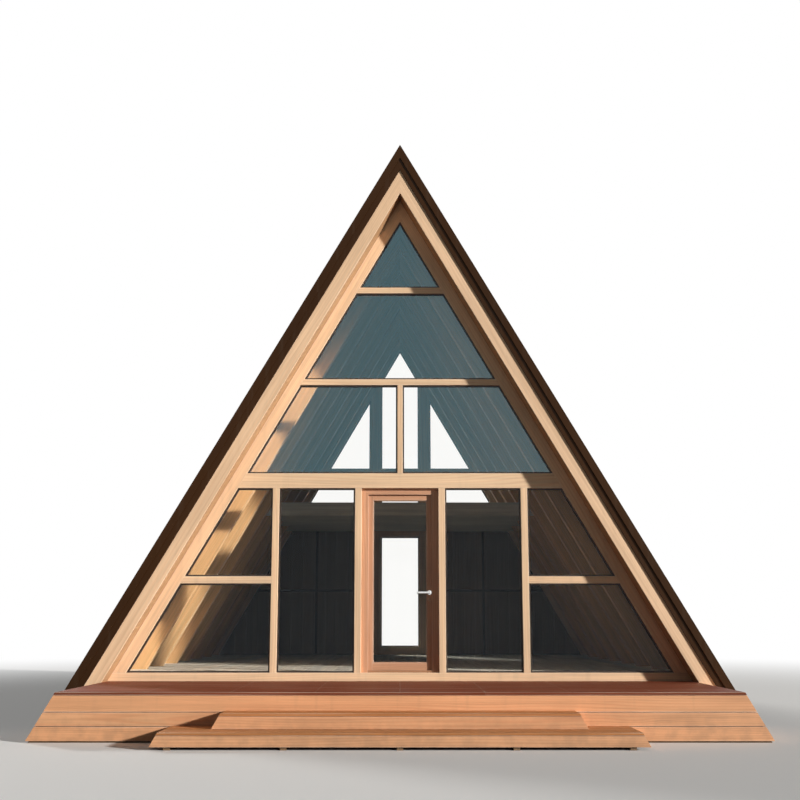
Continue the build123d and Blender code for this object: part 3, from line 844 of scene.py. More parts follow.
@dataclass(frozen=True)
class PaintedSheet:
    """Folded roof metal with a baked colour coat."""

    name: str
    colour: Colour
    dust_colour: Colour
    dust: float = 0.11
    sheen: float = 0.12
    relief: float = 0.0006
    soil: float = 0.22
    soil_reach: float = 0.5
    soil_colour: Colour = (0.2, 0.16, 0.12)

    def build(self, groups: Groups, grain: Grain) -> Material:
        """Makes the material, with its runs of dust along the grain.

        Args:
            groups: Shared effects.
            grain: Run of the dust.

        Returns:
            The material.
        """
        material, graph, shader = new_material(f"{self.name}_{grain.name.lower()}")
        place = graph.place()
        own = graph.stretched(place, turn=grain.value)
        sheet = graph.effect(groups.sheet, {"Coordinates": own, "Dust": self.dust})
        tone = graph.span(graph.noise(place, 0.7, 3.0), 0.3, 0.7, 0.88, 1.1)
        dusty = graph.blend(sheet["Dust"], graph.shaded(self.colour, tone), self.dust_colour)
        marks = graph.effect(groups.weather, {
            "Colour": dusty,
            "Place": place,
            "Soil": self.soil_colour,
            "Amount": self.soil,
            "Reach": self.soil_reach,
        })
        graph.feed(shader, {
            "Base Color": marks["Colour"],
            "Roughness": sheet["Roughness"],
            "Specular IOR Level": self.sheen,
            "Normal": graph.bump(sheet["Height"], self.relief),
        })
        return material


@dataclass(frozen=True)
class Glass:
    """Clear glazing unit that lets lamp light into the room.

    Bend is its index of refraction, and mirror the tint of what it reflects head-on.
    """

    name: str = "clear_glass"
    bend: float = 1.3
    mirror: Colour = (0.42, 0.48, 0.54)
    colour: Colour = (0.98, 0.98, 0.97)
    lit_through: Colour = (0.985, 0.99, 0.985)

    def build(self) -> Material:
        """Makes the material, with a faint film of dust in its roughness.

        Returns:
            The finished material.
        """
        material, graph, shader = new_material(self.name)
        film = graph.noise(graph.place(), 3.0, 5.0)
        graph.feed(shader, {
            "Base Color": self.colour,
            "Transmission Weight": 1.0,
            "IOR": self.bend,
            "Specular Tint": self.mirror,
            "Roughness": graph.span(film, 0.45, 0.85, 0.0, 0.035),
        })
        clear = graph.node("BsdfTransparent", {"Color": self.lit_through})
        lamp = graph.node("LightPath").outputs["Is Shadow Ray"]
        finish_surface(graph, lamp, shader, clear)
        return material


@dataclass(frozen=True)
class Rubber:
    """Glazing gasket, matt with a little dust on it."""

    name: str = "gasket_rubber"
    colour: Colour = (0.03, 0.017, 0.011)
    dust_colour: Colour = (0.1, 0.08, 0.06)
    relief: float = 0.0003

    def build(self) -> Material:
        """Makes the material.

        Returns:
            The finished material.
        """
        material, graph, shader = new_material(self.name)
        place = graph.place()
        dust = graph.span(graph.noise(place, 14.0, 5.0), 0.45, 0.8, 0.0, 0.2)
        graph.feed(shader, {
            "Base Color": graph.blend(dust, self.colour, self.dust_colour),
            "Roughness": graph.span(dust, 0.0, 0.2, 0.55, 0.8),
            "Normal": graph.bump(graph.noise(place, 300.0, 2.0), self.relief),
        })
        return material


@dataclass(frozen=True)
class BareMetal:
    """Brushed metal of handles, hinges, screws, keyhole plates and the threshold."""

    name: str
    colour: Colour
    roughness: float
    brushing: Scales = (4.0, 400.0, 400.0)
    relief: float = 0.00008

    def build(self) -> Material:
        """Makes the material, with fine brushing and finger marks in its gloss.

        Returns:
            The finished material.
        """
        material, graph, shader = new_material(self.name)
        place = graph.place()
        brushed = graph.noise(place, self.brushing, 3.0)
        touched = graph.span(graph.noise(place, 22.0, 3.0), 0.4, 0.7, 0.0, 0.1)
        uneven = graph.span(brushed, 0.2, 0.8, -0.05, 0.06)
        graph.feed(shader, {
            "Base Color": graph.shaded(self.colour, graph.span(brushed, 0.2, 0.8, 0.9, 1.08)),
            "Metallic": 1.0,
            "Roughness": graph.add(uneven, touched, self.roughness),
            "Normal": graph.bump(brushed, self.relief),
        })
        return material


@dataclass(frozen=True)
class Finishes:
    """Finish of each part of the cabin."""

    groups: Groups
    frame: Timber = Timber("frame_timber", srgb(243, 210, 172), srgb(229, 185, 143))
    soffit: Timber = Timber("soffit_timber", srgb(182, 143, 105), srgb(162, 119, 80), shades=0.2)
    rib: Timber = Timber("rib_timber", srgb(230, 184, 130), srgb(210, 158, 104), shades=0.12)
    barge: Timber = Timber("bargeboard_timber", srgb(242, 206, 168), srgb(227, 184, 142),
                           contrast=0.35, knots=0.3)
    door: Timber = Timber("door_timber", srgb(208, 160, 127), srgb(188, 134, 100),
                          knots=0.2, gloss=0.08)
    skirt: Timber = Timber("skirt_timber", srgb(225, 170, 126), srgb(206, 142, 100),
                           contrast=0.45, shades=0.16, knots=0.3)
    # The tread colour is darker than the skirt timber of the risers: painted shade of grazing light
    # on level tops.
    tread: Timber = Timber("tread_timber_painted_shade", srgb(198, 132, 78), srgb(170, 100, 52),
                           contrast=0.45, shades=0.16, knots=0.3, sheen=0.15)
    # The deck top's colour is much darker than the skirt timber: painted shade, the dimness of low
    # light grazing a level top laid into its colour.
    deck: Timber = Timber("deck_timber", srgb(130, 66, 40), srgb(108, 47, 27),
                          contrast=0.45, shades=0.2, sheen=0.06)
    base: Timber = Timber("base_timber", srgb(140, 112, 82), srgb(104, 80, 56),
                          contrast=0.5, shades=0.2, knots=0.7)
    floor: Timber = Timber("floor_boards", srgb(250, 245, 230), srgb(240, 230, 208),
                           knots=0.3, gloss=0.15, soil=0.0, sheen=0.0)
    wall: Timber = Timber("wall_boards", srgb(116, 100, 86), srgb(88, 74, 62),
                          contrast=0.5, shades=0.3, knots=0.3, wear=0.15)
    batten: Timber = Timber("batten_timber", srgb(52, 40, 32), srgb(34, 25, 20),
                            contrast=0.5, shades=0.3, knots=0.3, wear=0.15)
    roof: PaintedSheet = PaintedSheet("roof_metal", srgb(55, 32, 12), srgb(86, 62, 40))
    glass: Glass = Glass()
    # Upper panes: a raised index and a sky-blue mirror tint make their reflection of the white
    # background stronger and bluer, a painted sky reflection.
    painted_sky_glass: Glass = Glass("painted_sky_glass", bend=1.7, mirror=(0.45, 0.85, 1.0))
    gasket: Rubber = Rubber()
    handle: BareMetal = BareMetal("handle_steel", (0.8, 0.8, 0.78), 0.26)
    screw: BareMetal = BareMetal("screw_metal", (0.42, 0.38, 0.33), 0.35)
    sill: BareMetal = BareMetal("threshold_bronze", (0.42, 0.23, 0.13), 0.5)
    plate: BareMetal = BareMetal("plate_bronze", (0.15, 0.085, 0.055), 0.5)

    def wood(self, finish: Timber, grain: Grain = Grain.OWN) -> Material:
        """Material of a timber finish with one run of its fibres, made once."""
        found = bpy.data.materials.get(f"{finish.name}_{grain.name.lower()}")
        return found or finish.build(self.groups, grain)

    def metal(self, grain: Grain) -> Material:
        """Roof metal with its dust run one way, made once."""
        found = bpy.data.materials.get(f"{self.roof.name}_{grain.name.lower()}")
        return found or self.roof.build(self.groups, grain)

    def plain(self, finish: Glass | Rubber | BareMetal) -> Material:
        """Material of a finish with no grain, made once."""
        return bpy.data.materials.get(finish.name) or finish.build()


@dataclass
class RoundHead:
    """Head of a screw or rivet, or a keyhole plate: a low disc with a small hole in its middle."""

    radius: float = 0.0045
    sides: int = 10
    proud: float = 0.0003
    drive: float = 0.0018
    drive_depth: float = 0.0012
    drive_taper: float = 0.8
    buried: float = 0.002

    def add(self, skin: Skin, places: np.ndarray, out: np.ndarray, along: np.ndarray) -> None:
        """Adds a head at each place.

        A head is four rings about its axis: buried edge, rim, edge of the drive and its floor.
        The radius and height of each ring are fixed, and the angle goes once round.

        Args:
            skin: Mesh to add to.
            places: Centres on the surface, one a row.
            out: Unit vector out of the surface.
            along: Unit vector in the surface.
        """
        across = np.cross(out, along)
        angle = np.arange(self.sides) * 2 * math.pi / self.sides
        circle = np.cos(angle)[:, None] * along + np.sin(angle)[:, None] * across
        radii = np.array([self.radius, self.radius, self.drive, self.drive * self.drive_taper])
        floor = self.proud - self.drive_depth
        heights = np.array([-self.buried, self.proud, self.proud, floor])
        head = radii[:, None, None] * circle + heights[:, None, None] * out
        axes = Axes(along, across, out)
        for place in places:
            skin.rings(head + place, axes, Cap.FACE)


@dataclass(frozen=True)
class Step:
    """One step: half its width, levels, front edge, boards, and where its screws are covered."""

    half: float
    top: float
    bottom: float
    front: float
    rows: int
    covered: float

    def ends(self) -> tuple[Plane, Plane]:
        """Planes that cut both ends, raked like the roof."""
        return Plane.raked(LEFT, self.half, self.top), Plane.raked(RIGHT, self.half, self.top)


@dataclass
class Deck:
    """Deck, its skirts and both steps, board by board.

    The boards of each row meet on one of the joists, counted from the middle one.
    """

    finishes: Finishes
    rows: int = 13
    gap: float = 0.005
    butt_gap: float = 0.003
    arris: float = 0.003
    skirt: float = 0.025
    skirt_front: float = -3.925
    butt_joists: tuple[int, ...] = (1, -2, 0, 2, -1)
    courses: tuple[Span, ...] = ((0.299, 0.462), (0.160, 0.294), (0.017, 0.155))
    joist_spacing: float = 0.848
    joists_a_side: int = 4
    screw_edge: float = 0.022
    steps: tuple[Step, ...] = (
        Step(half=2.264, top=0.164, bottom=0.030, front=-4.535, rows=4, covered=-4.245),
        Step(half=1.733, top=0.312, bottom=0.164, front=-4.235, rows=2, covered=0.0),
    )
    tread: float = 0.028
    nosing: float = 0.008
    step_bearers: int = 5
    bearer_inset: float = 0.060
    tread_screw_edges: Span = (0.030, 0.026)

    def deck_boards(self) -> None:
        """Deck boards laid across the front, butt-jointed over joists, with two screws a joist."""
        chance = Seed.DECK.draws()
        low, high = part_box("deck_top")
        pitch = (high.y - low.y) / self.rows
        half_gap = self.butt_gap / 2
        skin = Skin()
        for row in range(self.rows):
            front = low.y + row * pitch + (self.gap if row else 0.0)
            corners = rectangle((front, low.z), (low.y + (row + 1) * pitch, high.z))
            joint = self.joist_spacing * self.butt_joists[row % len(self.butt_joists)]
            spans = (
                (Plane.slope(LEFT), Plane.at_x(joint - half_gap)),
                (Plane.at_x(joint + half_gap), Plane.slope(RIGHT)),
            )
            for start, end in spans:
                skin.board(corners, LEVEL_AXES, start, end, chance, self.arris)
        make_piece("deck_boards", skin, self.finishes.wood(self.finishes.deck),
                   replaces=("deck_top",))
        fronts = low.y + pitch * np.arange(self.rows)
        lines = [fronts + self.screw_edge + self.gap, fronts + pitch - self.screw_edge]
        joists = self.joist_spacing * np.arange(-self.joists_a_side, self.joists_a_side + 1)
        screws = Skin()
        RoundHead().add(screws, grid(joists, np.concatenate(lines), high.z), AXIS_Z, AXIS_X)
        self.tread_screws(screws)
        make_piece("deck_screws", screws, self.finishes.plain(self.finishes.screw),
                   shade=Shade.SMOOTH)

    def tread_pitch(self, step: Step) -> float:
        """Depth of one board of a step, with its gap."""
        return (self.skirt_front - step.front) / step.rows

    def tread_screws(self, screws: Skin) -> None:
        """Screws of the treads, two a board over each bearer, where nothing covers them.

        Args:
            screws: Mesh to add to.
        """
        front_edge, back_edge = self.tread_screw_edges
        for step in self.steps:
            reach = step.half - self.skirt - self.bearer_inset
            bearers = np.linspace(-reach, reach, self.step_bearers)
            pitch = self.tread_pitch(step)
            fronts = step.front + pitch * np.arange(step.rows)
            lines = np.concatenate([fronts + front_edge, fronts + pitch - back_edge])
            places = grid(bearers, lines[lines < step.covered], step.top)
            RoundHead().add(screws, places, AXIS_Z, AXIS_X)

    def treads(self) -> None:
        """Boards of both steps, their ends raked like the roof."""
        chance = Seed.TREADS.draws()
        skin = Skin()
        for step in self.steps:
            pitch = self.tread_pitch(step)
            for row in range(step.rows):
                front = step.front + row * pitch + (self.gap if row else 0.0)
                back = step.front + (row + 1) * pitch
                corners = rectangle((front, step.top - self.tread), (back, step.top))
                skin.board(corners, LEVEL_AXES, *step.ends(), chance, self.arris)
        make_piece("step_boards", skin, self.finishes.wood(self.finishes.tread),
                   replaces=("step_treads",))

    def risers(self) -> None:
        """Front and side boards below each tread."""
        chance = Seed.RISERS.draws()
        skin = Skin()
        end = Plane.at_y(self.skirt_front)
        for step in self.steps:
            under = step.top - self.tread
            front = step.front + self.nosing
            back = front + self.skirt
            corners = rectangle((front, step.bottom), (back, under))
            skin.board(corners, LEVEL_AXES, *step.ends(), chance, self.arris)
            for side, _ in SIDES:
                corners = self.raked_strip(side, step.half, step.top, (step.bottom, under))
                skin.board(corners, DEEP_AXES, Plane.at_y(back), end, chance, self.arris)
        make_piece("step_risers", skin, self.finishes.wood(self.finishes.skirt),
                   replaces=("step_skirts",))

    def raked_strip(self, side: int, half: float, level: float, span: Span) -> np.ndarray:
        """Corners of a board that leans like the roof.

        Args:
            side: Left or right.
            half: Distance of its outer face from the middle at the level.
            level: Level that the distance is taken at.
            span: Levels of its underside and its top.

        Returns:
            The corners, as (across, up).
        """
        lean = 1 / math.tan(PITCH)
        bottom, top = span
        low = half + (level - bottom) * lean
        high = half + (level - top) * lean
        return np.array([
            (side * (low - self.skirt), bottom),
            (side * low, bottom),
            (side * high, top),
            (side * (high - self.skirt), top),
        ])

    def skirts(self) -> None:
        """Courses of boards round the deck."""
        chance = Seed.SKIRTS.draws()
        back = self.skirt_front + self.skirt
        half = SOFFIT_APEX / math.tan(PITCH)
        start, end = Plane.at_y(back), Plane.at_y(FRONT_WALL)
        left, right = Plane.slope(LEFT), Plane.slope(RIGHT)
        across = Skin()
        deep = Skin()
        for bottom, top in self.courses:
            corners = rectangle((self.skirt_front, bottom), (back, top))
            across.board(corners, LEVEL_AXES, left, right, chance, self.arris)
            for side, _ in SIDES:
                corners = self.raked_strip(side, half, 0.0, (bottom, top))
                deep.board(corners, DEEP_AXES, start, end, chance, self.arris)
        timber = self.finishes.wood(self.finishes.skirt)
        make_piece("skirt_boards_front", across, timber,
                   replaces=("deck_skirt_front",))
        make_piece("skirt_boards_side", deep, timber,
                   replaces=("deck_skirt_sides",))

    def build(self) -> None:
        """Builds the boards and dresses the frame under them."""
        self.deck_boards()
        self.treads()
        self.risers()
        self.skirts()
        base = self.finishes.base
        dress(self.finishes.wood(base, Grain.DEEP), "deck_joists", "step_bearers")
        dress(self.finishes.wood(base, Grain.LEVEL), "deck_bearers")


@dataclass
class Roof:
    """Lining panels, seamed sheets, ridge cap, verges, bargeboards and ribs."""

    finishes: Finishes
    front: float = -2.331
    back: float = 4.481
    panel: float = 0.280
    sheet: float = 0.006
    verge: float = 0.110
    foot: float = 0.040
    barge_depth: float = 0.150
    barge_thickness: float = 0.022
    barge_arris: float = 0.003
    rib_width: float = 0.090
    rib_depth: float = 0.165
    rib_spacing: float = 0.870
    rib_count: int = 6
    rib_arris: float = 0.004
    lining_pitch: float = 0.870
    lining_start: float = -2.090
    lining_end_clear: float = 0.05
    groove: float = 0.005
    groove_depth: float = 0.006
    seam_pitch: float = 0.480
    seam_height: float = 0.024
    flat_edge: float = 0.1
    pan_steps: int = 8
    slope_steps: int = 32
    swell: float = 0.0022
    wave_lengths: Span = (0.9, 2.0)
    cap_reach: float = 0.110
    cap_lengths: int = 3
    cap_lap: float = 0.03
    cap_lift: float = 0.0012
    cap_cover: float = 0.8
    hem: float = 0.014
    rivet_inset: float = 0.035
    rivet_start: float = 0.35
    rivet_end: float = 7.6
    rivet_spacing: float = 0.60
    strip_sunk: float = 0.0005
    strip_proud: float = 0.0035
    strip_top: float = 0.045
    strip_foot: float = 0.004

    def lining(self, side: int, side_name: str) -> None:
        """One roof panel, its soffit lined with sheets that have a vee joint between them.

        Args:
            side: -1 for the left slope, 1 for the right one.
            side_name: Name of that side.
        """
        low, high = self.front + self.lining_end_clear, self.back - self.lining_end_clear
        joints = np.arange(self.lining_start, self.back, self.lining_pitch)
        joints = joints[(joints > low) & (joints < high)]
        laid = Panels.laid((self.front, self.back), joints, self.groove, self.groove_depth,
                           Seed.LINING.draws(side))
        inner = np.stack([laid.places, laid.dips], axis=-1)
        outer = np.stack([laid.places[::-1], np.full(len(laid.places), self.panel)], axis=-1)
        outline = np.concatenate([inner, outer]) + np.array([0.0, SOFFIT])
        skin = Skin()
        skin.run(outline, Axes.slope(side), RIDGE, Plane.at_z(0.0), Cap.STRIP, **laid.values)
        make_piece(f"roof_lining_{side_name}", skin, self.finishes.wood(self.finishes.soffit),
                   replaces=(f"roof_panel_{side_name}",))

    def seam_places(self) -> np.ndarray:
        """Places of the seams along the roof, in equal steps about its middle.

        Returns:
            Their places on Y, from the front.
        """
        length = self.back - self.front - 2 * self.verge
        count = int(length // self.seam_pitch)
        middle = (self.front + self.back) / 2
        return middle + self.seam_pitch * (np.arange(count) - (count - 1) / 2)

    def sheets(self, side: int, side_name: str) -> None:
        """Metal sheet of one slope: slightly swollen pans between folded seams.

        A pan stands out by the swell times the squared sine across it, times a slow wave down the
        slope with a length and a start of its own. It eases off over an eighth of the slope at
        both ends.

        Args:
            side: -1 for the left slope, 1 for the right one.
            side_name: Name of that side.
        """
        chance = Seed.PANS.draws(side)
        axes = Axes.slope(side)
        seams = self.seam_places()
        fine = np.linspace(0.0, 1.0, self.pan_steps + 1)[:-1]
        pans = (seams[:-1, None] + self.seam_pitch * fine).ravel()
        near = [self.front, self.front + self.flat_edge]
        far = [seams[-1], self.back - self.flat_edge, self.back]
        places = np.concatenate([near, pans, far])
        across = np.sin(math.pi * (places - seams[0]) / self.seam_pitch) ** 2
        across[(places < seams[0]) | (places > seams[-1])] = 0.0
        number = ((places - seams[0]) // self.seam_pitch).astype(int)
        number = np.clip(number, 0, len(seams) - 1)
        wave = chance.uniform(*self.wave_lengths, len(seams))[number]
        start = chance.uniform(0.0, 2 * math.pi, len(seams))[number]
        base = SOFFIT + self.panel
        outer = np.stack([places, np.full(len(places), base + self.sheet)], axis=-1)
        inner = np.stack([places[::-1], np.full(len(places), base)], axis=-1)
        points = axes.place(np.concatenate([outer, inner]))
        top = RIDGE.travel(points, axes.along)
        bottom = Plane.at_z(self.foot).travel(points, axes.along)
        share = np.linspace(0.0, 1.0, self.slope_steps + 1)[:, None]
        travel = top + share * (bottom - top)
        rings = points + travel[:, :, None] * axes.along
        slow = 0.5 + 0.5 * np.sin(2 * math.pi * travel[:, : len(places)] / wave + start)
        ease = np.minimum(1.0, 8 * np.minimum(share, 1 - share))
        bulge = self.swell * across * slow * ease
        rings[:, : len(places)] += bulge[:, :, None] * axes.up
        skin = Skin()
        skin.rings(rings, axes, Cap.STRIP)
        metal = self.finishes.metal(Grain.down(side))
        make_piece(f"roof_pans_{side_name}", skin, metal,
                   replaces=(f"roof_sheet_{side_name}",), shade=Shade.SMOOTH)
        folds = Skin()
        for place in seams:
            self.seam(folds, side, place)
        make_piece(f"roof_seams_{side_name}", folds, metal)

    def seam(self, skin: Skin, side: int, place: float) -> None:
        """One double-folded seam: a thin upstand with its head folded over to the back.

        Args:
            skin: Mesh to add to.
            side: -1 for the left slope, 1 for the right one.
            place: Place of the seam on Y.
        """
        leg = 0.003
        lip = 0.009
        flare = 0.004
        bend = 0.002
        sunk = 0.001
        top = self.seam_height
        fold = top - 0.011
        outline = np.array([
            (-leg - flare, -sunk),
            (-leg, flare),
            (-leg, top - bend),
            (-leg + bend, top),
            (lip - bend, top),
            (lip, top - bend),
            (lip, fold),
            (leg, fold),
            (leg, flare),
            (leg + flare, -sunk),
        ]) + np.array([place, SOFFIT + self.panel + self.sheet])
        under_cap = Plane.at_x(side * self.cap_reach * self.cap_cover)
        skin.run(outline, Axes.slope(side), under_cap, Plane.at_z(self.foot))

    def ridge(self) -> None:
        """Ridge cap in lapped lengths, each with hemmed edges.

        Every second length is longer by the lap at both ends and lies on its neighbours.
        """
        cos = math.cos(PITCH)
        tan = math.tan(PITCH)
        step, step_up = 0.003, 0.001
        roll, roll_up = 0.0022, 0.0015
        turn, turn_down = 0.0008, 0.004
        inside = self.panel + self.sheet
        skin = Skin()
        edges = np.linspace(self.front + self.verge, self.back - self.verge, self.cap_lengths + 1)
        for number in range(self.cap_lengths):
            over = number % 2
            lift = self.cap_lift * over
            lap = self.cap_lap * over
            apex = SOFFIT_APEX + (inside + self.seam_height + lift) / cos
            under = SOFFIT_APEX + inside / cos
            reach = self.cap_reach + lift
            flat = reach - self.hem
            right = np.array([
                (flat, apex - flat * tan),
                (flat + step, apex - flat * tan + step_up),
                (reach + roll, apex - reach * tan + roll_up),
                (reach + turn, apex - reach * tan - turn_down),
                (reach, under - reach * tan),
            ])
            left = right[::-1] * np.array([-1.0, 1.0])
            outline = np.concatenate([[(0.0, apex)], right, [(0.0, under)], left])
            start, end = Plane.at_y(edges[number] - lap), Plane.at_y(edges[number + 1] + lap)
            skin.run(outline, DEEP_AXES, start, end)
        make_piece("ridge_folds", skin, self.finishes.metal(Grain.DEEP),
                   replaces=("ridge_cap",))

    def rivets(self) -> None:
        """Rivets of the ridge cap, one in the middle of each pan, and of the verges."""
        skin = Skin()
        face = SOFFIT + self.panel + self.sheet + self.seam_height
        head = RoundHead(radius=0.006, sides=8, proud=0.0016, drive=0.0015, drive_depth=0.0005)
        seams = self.seam_places()
        middles = (seams[:-1] + seams[1:]) / 2
        on_cap = np.full(len(middles), (self.cap_reach - self.rivet_inset) / math.cos(PITCH))
        on_verge = np.arange(self.rivet_start, self.rivet_end, self.rivet_spacing)
        rows = [(middles, on_cap)]
        for place in (self.front + self.verge / 2, self.back - self.verge / 2):
            rows.append((np.full(len(on_verge), place), on_verge))
        for side, _ in SIDES:
            axes = Axes.slope(side)
            for places, down in rows:
                points = axes.place(np.stack([places, np.full(len(places), face)], axis=-1))
                travel = RIDGE.travel(points, axes.along) + down
                head.add(skin, points + travel[:, None] * axes.along, axes.up, AXIS_Y)
        make_piece("roof_rivets", skin, self.finishes.metal(Grain.LEVEL),
                   shade=Shade.SMOOTH)

    def bargeboards(self, side: int, side_name: str) -> None:
        """Front and back board on the ends of one panel, mitred at the ridge.

        Args:
            side: -1 for the left slope, 1 for the right one.
            side_name: Name of that side.
        """
        chance = Seed.BARGEBOARDS.draws(side)
        foot = Plane.at_z(self.foot)
        timber = self.finishes.wood(self.finishes.barge)
        for end, near in (("front", self.front - self.barge_thickness), ("back", self.back)):
            far = near + self.barge_thickness
            corners = rectangle((near, SOFFIT), (far, SOFFIT + self.barge_depth))
            skin = Skin()
            skin.board(corners, Axes.slope(side), RIDGE, foot, chance, self.barge_arris)
            name = f"bargeboard_{end}_{side_name}"
            make_piece(f"{name}_timber", skin, timber, replaces=(name,))

    def ribs(self, side: int, side_name: str) -> None:
        """Raking ribs under one panel, cut where the loft floor runs in.

        Args:
            side: -1 for the left slope, 1 for the right one.
            side_name: Name of that side.
        """
        chance = Seed.RIBS.draws(side)
        low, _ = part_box(f"roof_ribs_{side_name}")
        loft_low, loft_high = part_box("loft_floor")
        foot = Plane.at_z(low.z)
        skin = Skin()
        for number in range(self.rib_count):
            near = low.y + number * self.rib_spacing
            corners = rectangle((near, SOFFIT - self.rib_depth), (near + self.rib_width, SOFFIT))
            spans = [(RIDGE, foot)]
            if near > loft_low.y:
                spans = [(RIDGE, Plane.at_z(loft_high.z)), (Plane.at_z(loft_low.z), foot)]
            for start, end in spans:
                skin.board(corners, Axes.slope(side), start, end, chance, self.rib_arris)
        make_piece(f"rib_timbers_{side_name}", skin, self.finishes.wood(self.finishes.rib),
                   replaces=(f"roof_ribs_{side_name}",))

    def eaves(self, side: int, side_name: str) -> None:
        """Thin metal strip on the foot of one panel, from below the sheet nearly to the ground.

        Args:
            side: -1 for the left slope, 1 for the right one.
            side_name: Name of that side.
        """
        face = SOFFIT + self.panel
        inner, outer = face - self.strip_sunk, face + self.strip_proud
        corners = rectangle((self.front, inner), (self.back, outer))
        top, bottom = Plane.at_z(self.strip_top), Plane.at_z(self.strip_foot)
        skin = Skin()
        skin.run(corners, Axes.slope(side), top, bottom)
        make_piece(f"eaves_strip_{side_name}", skin, self.finishes.metal(Grain.DEEP))

    def build(self) -> None:
        """Builds the lining, boards and metal and dresses the verges."""
        for side, side_name in SIDES:
            self.lining(side, side_name)
            self.sheets(side, side_name)
            self.bargeboards(side, side_name)
            self.ribs(side, side_name)
            self.eaves(side, side_name)
            verges = (f"verge_front_{side_name}", f"verge_back_{side_name}")
            dress(self.finishes.metal(Grain.down(side)), *verges)
        self.ridge()
        self.rivets()


@dataclass
class Gable:
    """Frame members of one end wall, each a length of timber of its own."""

    finishes: Finishes
    end: str
    front: float
    chance: np.random.Generator
    depth: float = 0.140
    sill: Span = (0.490, 0.588)
    arris: float = 0.004

    def piece(self, name: str, skin: Skin, node: str) -> None:
        """Turns members into the piece that stands for a node.

        Args:
            name: Name of the piece, after the name of its end wall.
            skin: Mesh of the members.
            node: Node that it stands for, after the name of its end wall.
        """
        timber = self.finishes.wood(self.finishes.frame)
        make_piece(f"{self.end}_{name}", skin, timber,
                   replaces=(f"{self.end}_{node}",))

    def inside(self, side: int) -> Plane:
        """Inner face of the raking member."""
        return Plane.slope(side, -RAKE_WIDTH)

    def level(self, skin: Skin, span: Span, start: Plane, end: Plane) -> None:
        """Adds a level member.

        Args:
            skin: Mesh to add to.
            span: Levels of its underside and its top.
            start: Plane that cuts its left end.
            end: Plane that cuts its right end.
        """
        corners = rectangle((self.front, span[0]), (self.front + self.depth, span[1]))
        skin.board(corners, LEVEL_AXES, start, end, self.chance, self.arris)

    def side_level(self, skin: Skin, side: int, span: Span, inner: float) -> None:
        """Adds a level member between an upright's outer face and the raking member of one side."""
        ends = (Plane.at_x(side * inner), self.inside(side))
        self.level(skin, span, *ends[::side])

    def upright(self, skin: Skin, span: Span, start: Plane, end: Plane) -> None:
        """Adds an upright between two places along X and two planes."""
        corners = rectangle((span[0], self.front), (span[1], self.front + self.depth))
        skin.board(corners, UPRIGHT_AXES, start, end, self.chance, self.arris)

    def ring(self) -> None:
        """Adds the sill and both raking members."""
        skin = Skin()
        self.level(skin, self.sill, Plane.slope(LEFT), Plane.slope(RIGHT))
        self.piece("sill_timber", skin, "sill")
        corners = rectangle((self.front, SOFFIT - RAKE_WIDTH), (self.front + self.depth, SOFFIT))
        for side, side_name in SIDES:
            skin = Skin()
            foot = Plane.at_z(self.sill[1])
            skin.board(corners, Axes.slope(side), RIDGE, foot, self.chance, self.arris)
            self.piece(f"rake_timber_{side_name}", skin, f"rake_{side_name}")


@dataclass
class FrontWall:
    """Timber frame, glass and gaskets of the glazed front."""

    finishes: Finishes
    beam: Span = (2.775, 2.957)
    side_rail: Span = (1.630, 1.716)
    upper_rails: tuple[Span, ...] = ((4.052, 4.127), (5.226, 5.301))
    outer_post: Span = (1.457, 1.537)
    door_post: Span = (0.463, 0.543)
    mullion_half: float = 0.032

    def build(self) -> None:
        """Builds the frame member by member and dresses the glass and gaskets."""
        gable = Gable(self.finishes, "front", FRONT_WALL, Seed.FRONT_GABLE.draws())
        gable.ring()
        beam, rails, posts, mullion = Skin(), Skin(), Skin(), Skin()
        left, right = gable.inside(LEFT), gable.inside(RIGHT)
        gable.level(beam, self.beam, left, right)
        floor, underside = Plane.at_z(gable.sill[1]), Plane.at_z(self.beam[0])
        for side, _ in SIDES:
            gable.side_level(rails, side, self.side_rail, self.outer_post[1])
            for span in (self.outer_post, self.door_post):
                gable.upright(posts, (side * span[0], side * span[1]), floor, underside)
        for span in self.upper_rails:
            gable.level(rails, span, left, right)
        top, foot = Plane.at_z(self.upper_rails[0][0]), Plane.at_z(self.beam[1])
        gable.upright(mullion, (-self.mullion_half, self.mullion_half), foot, top)
        gable.piece("beam_timber", beam, "beam")
        gable.piece("rail_timbers", rails, "rails")
        gable.piece("post_timbers", posts, "posts")
        gable.piece("mullion_timber", mullion, "mullion")
        finishes = self.finishes
        dress(finishes.plain(finishes.glass), "front_glass_lower")
        # The upper panes get the glass whose bluish reflection is a painted sky reflection.
        dress(finishes.plain(finishes.painted_sky_glass), "front_glass_upper")
        dress(finishes.plain(finishes.gasket), "front_gaskets")


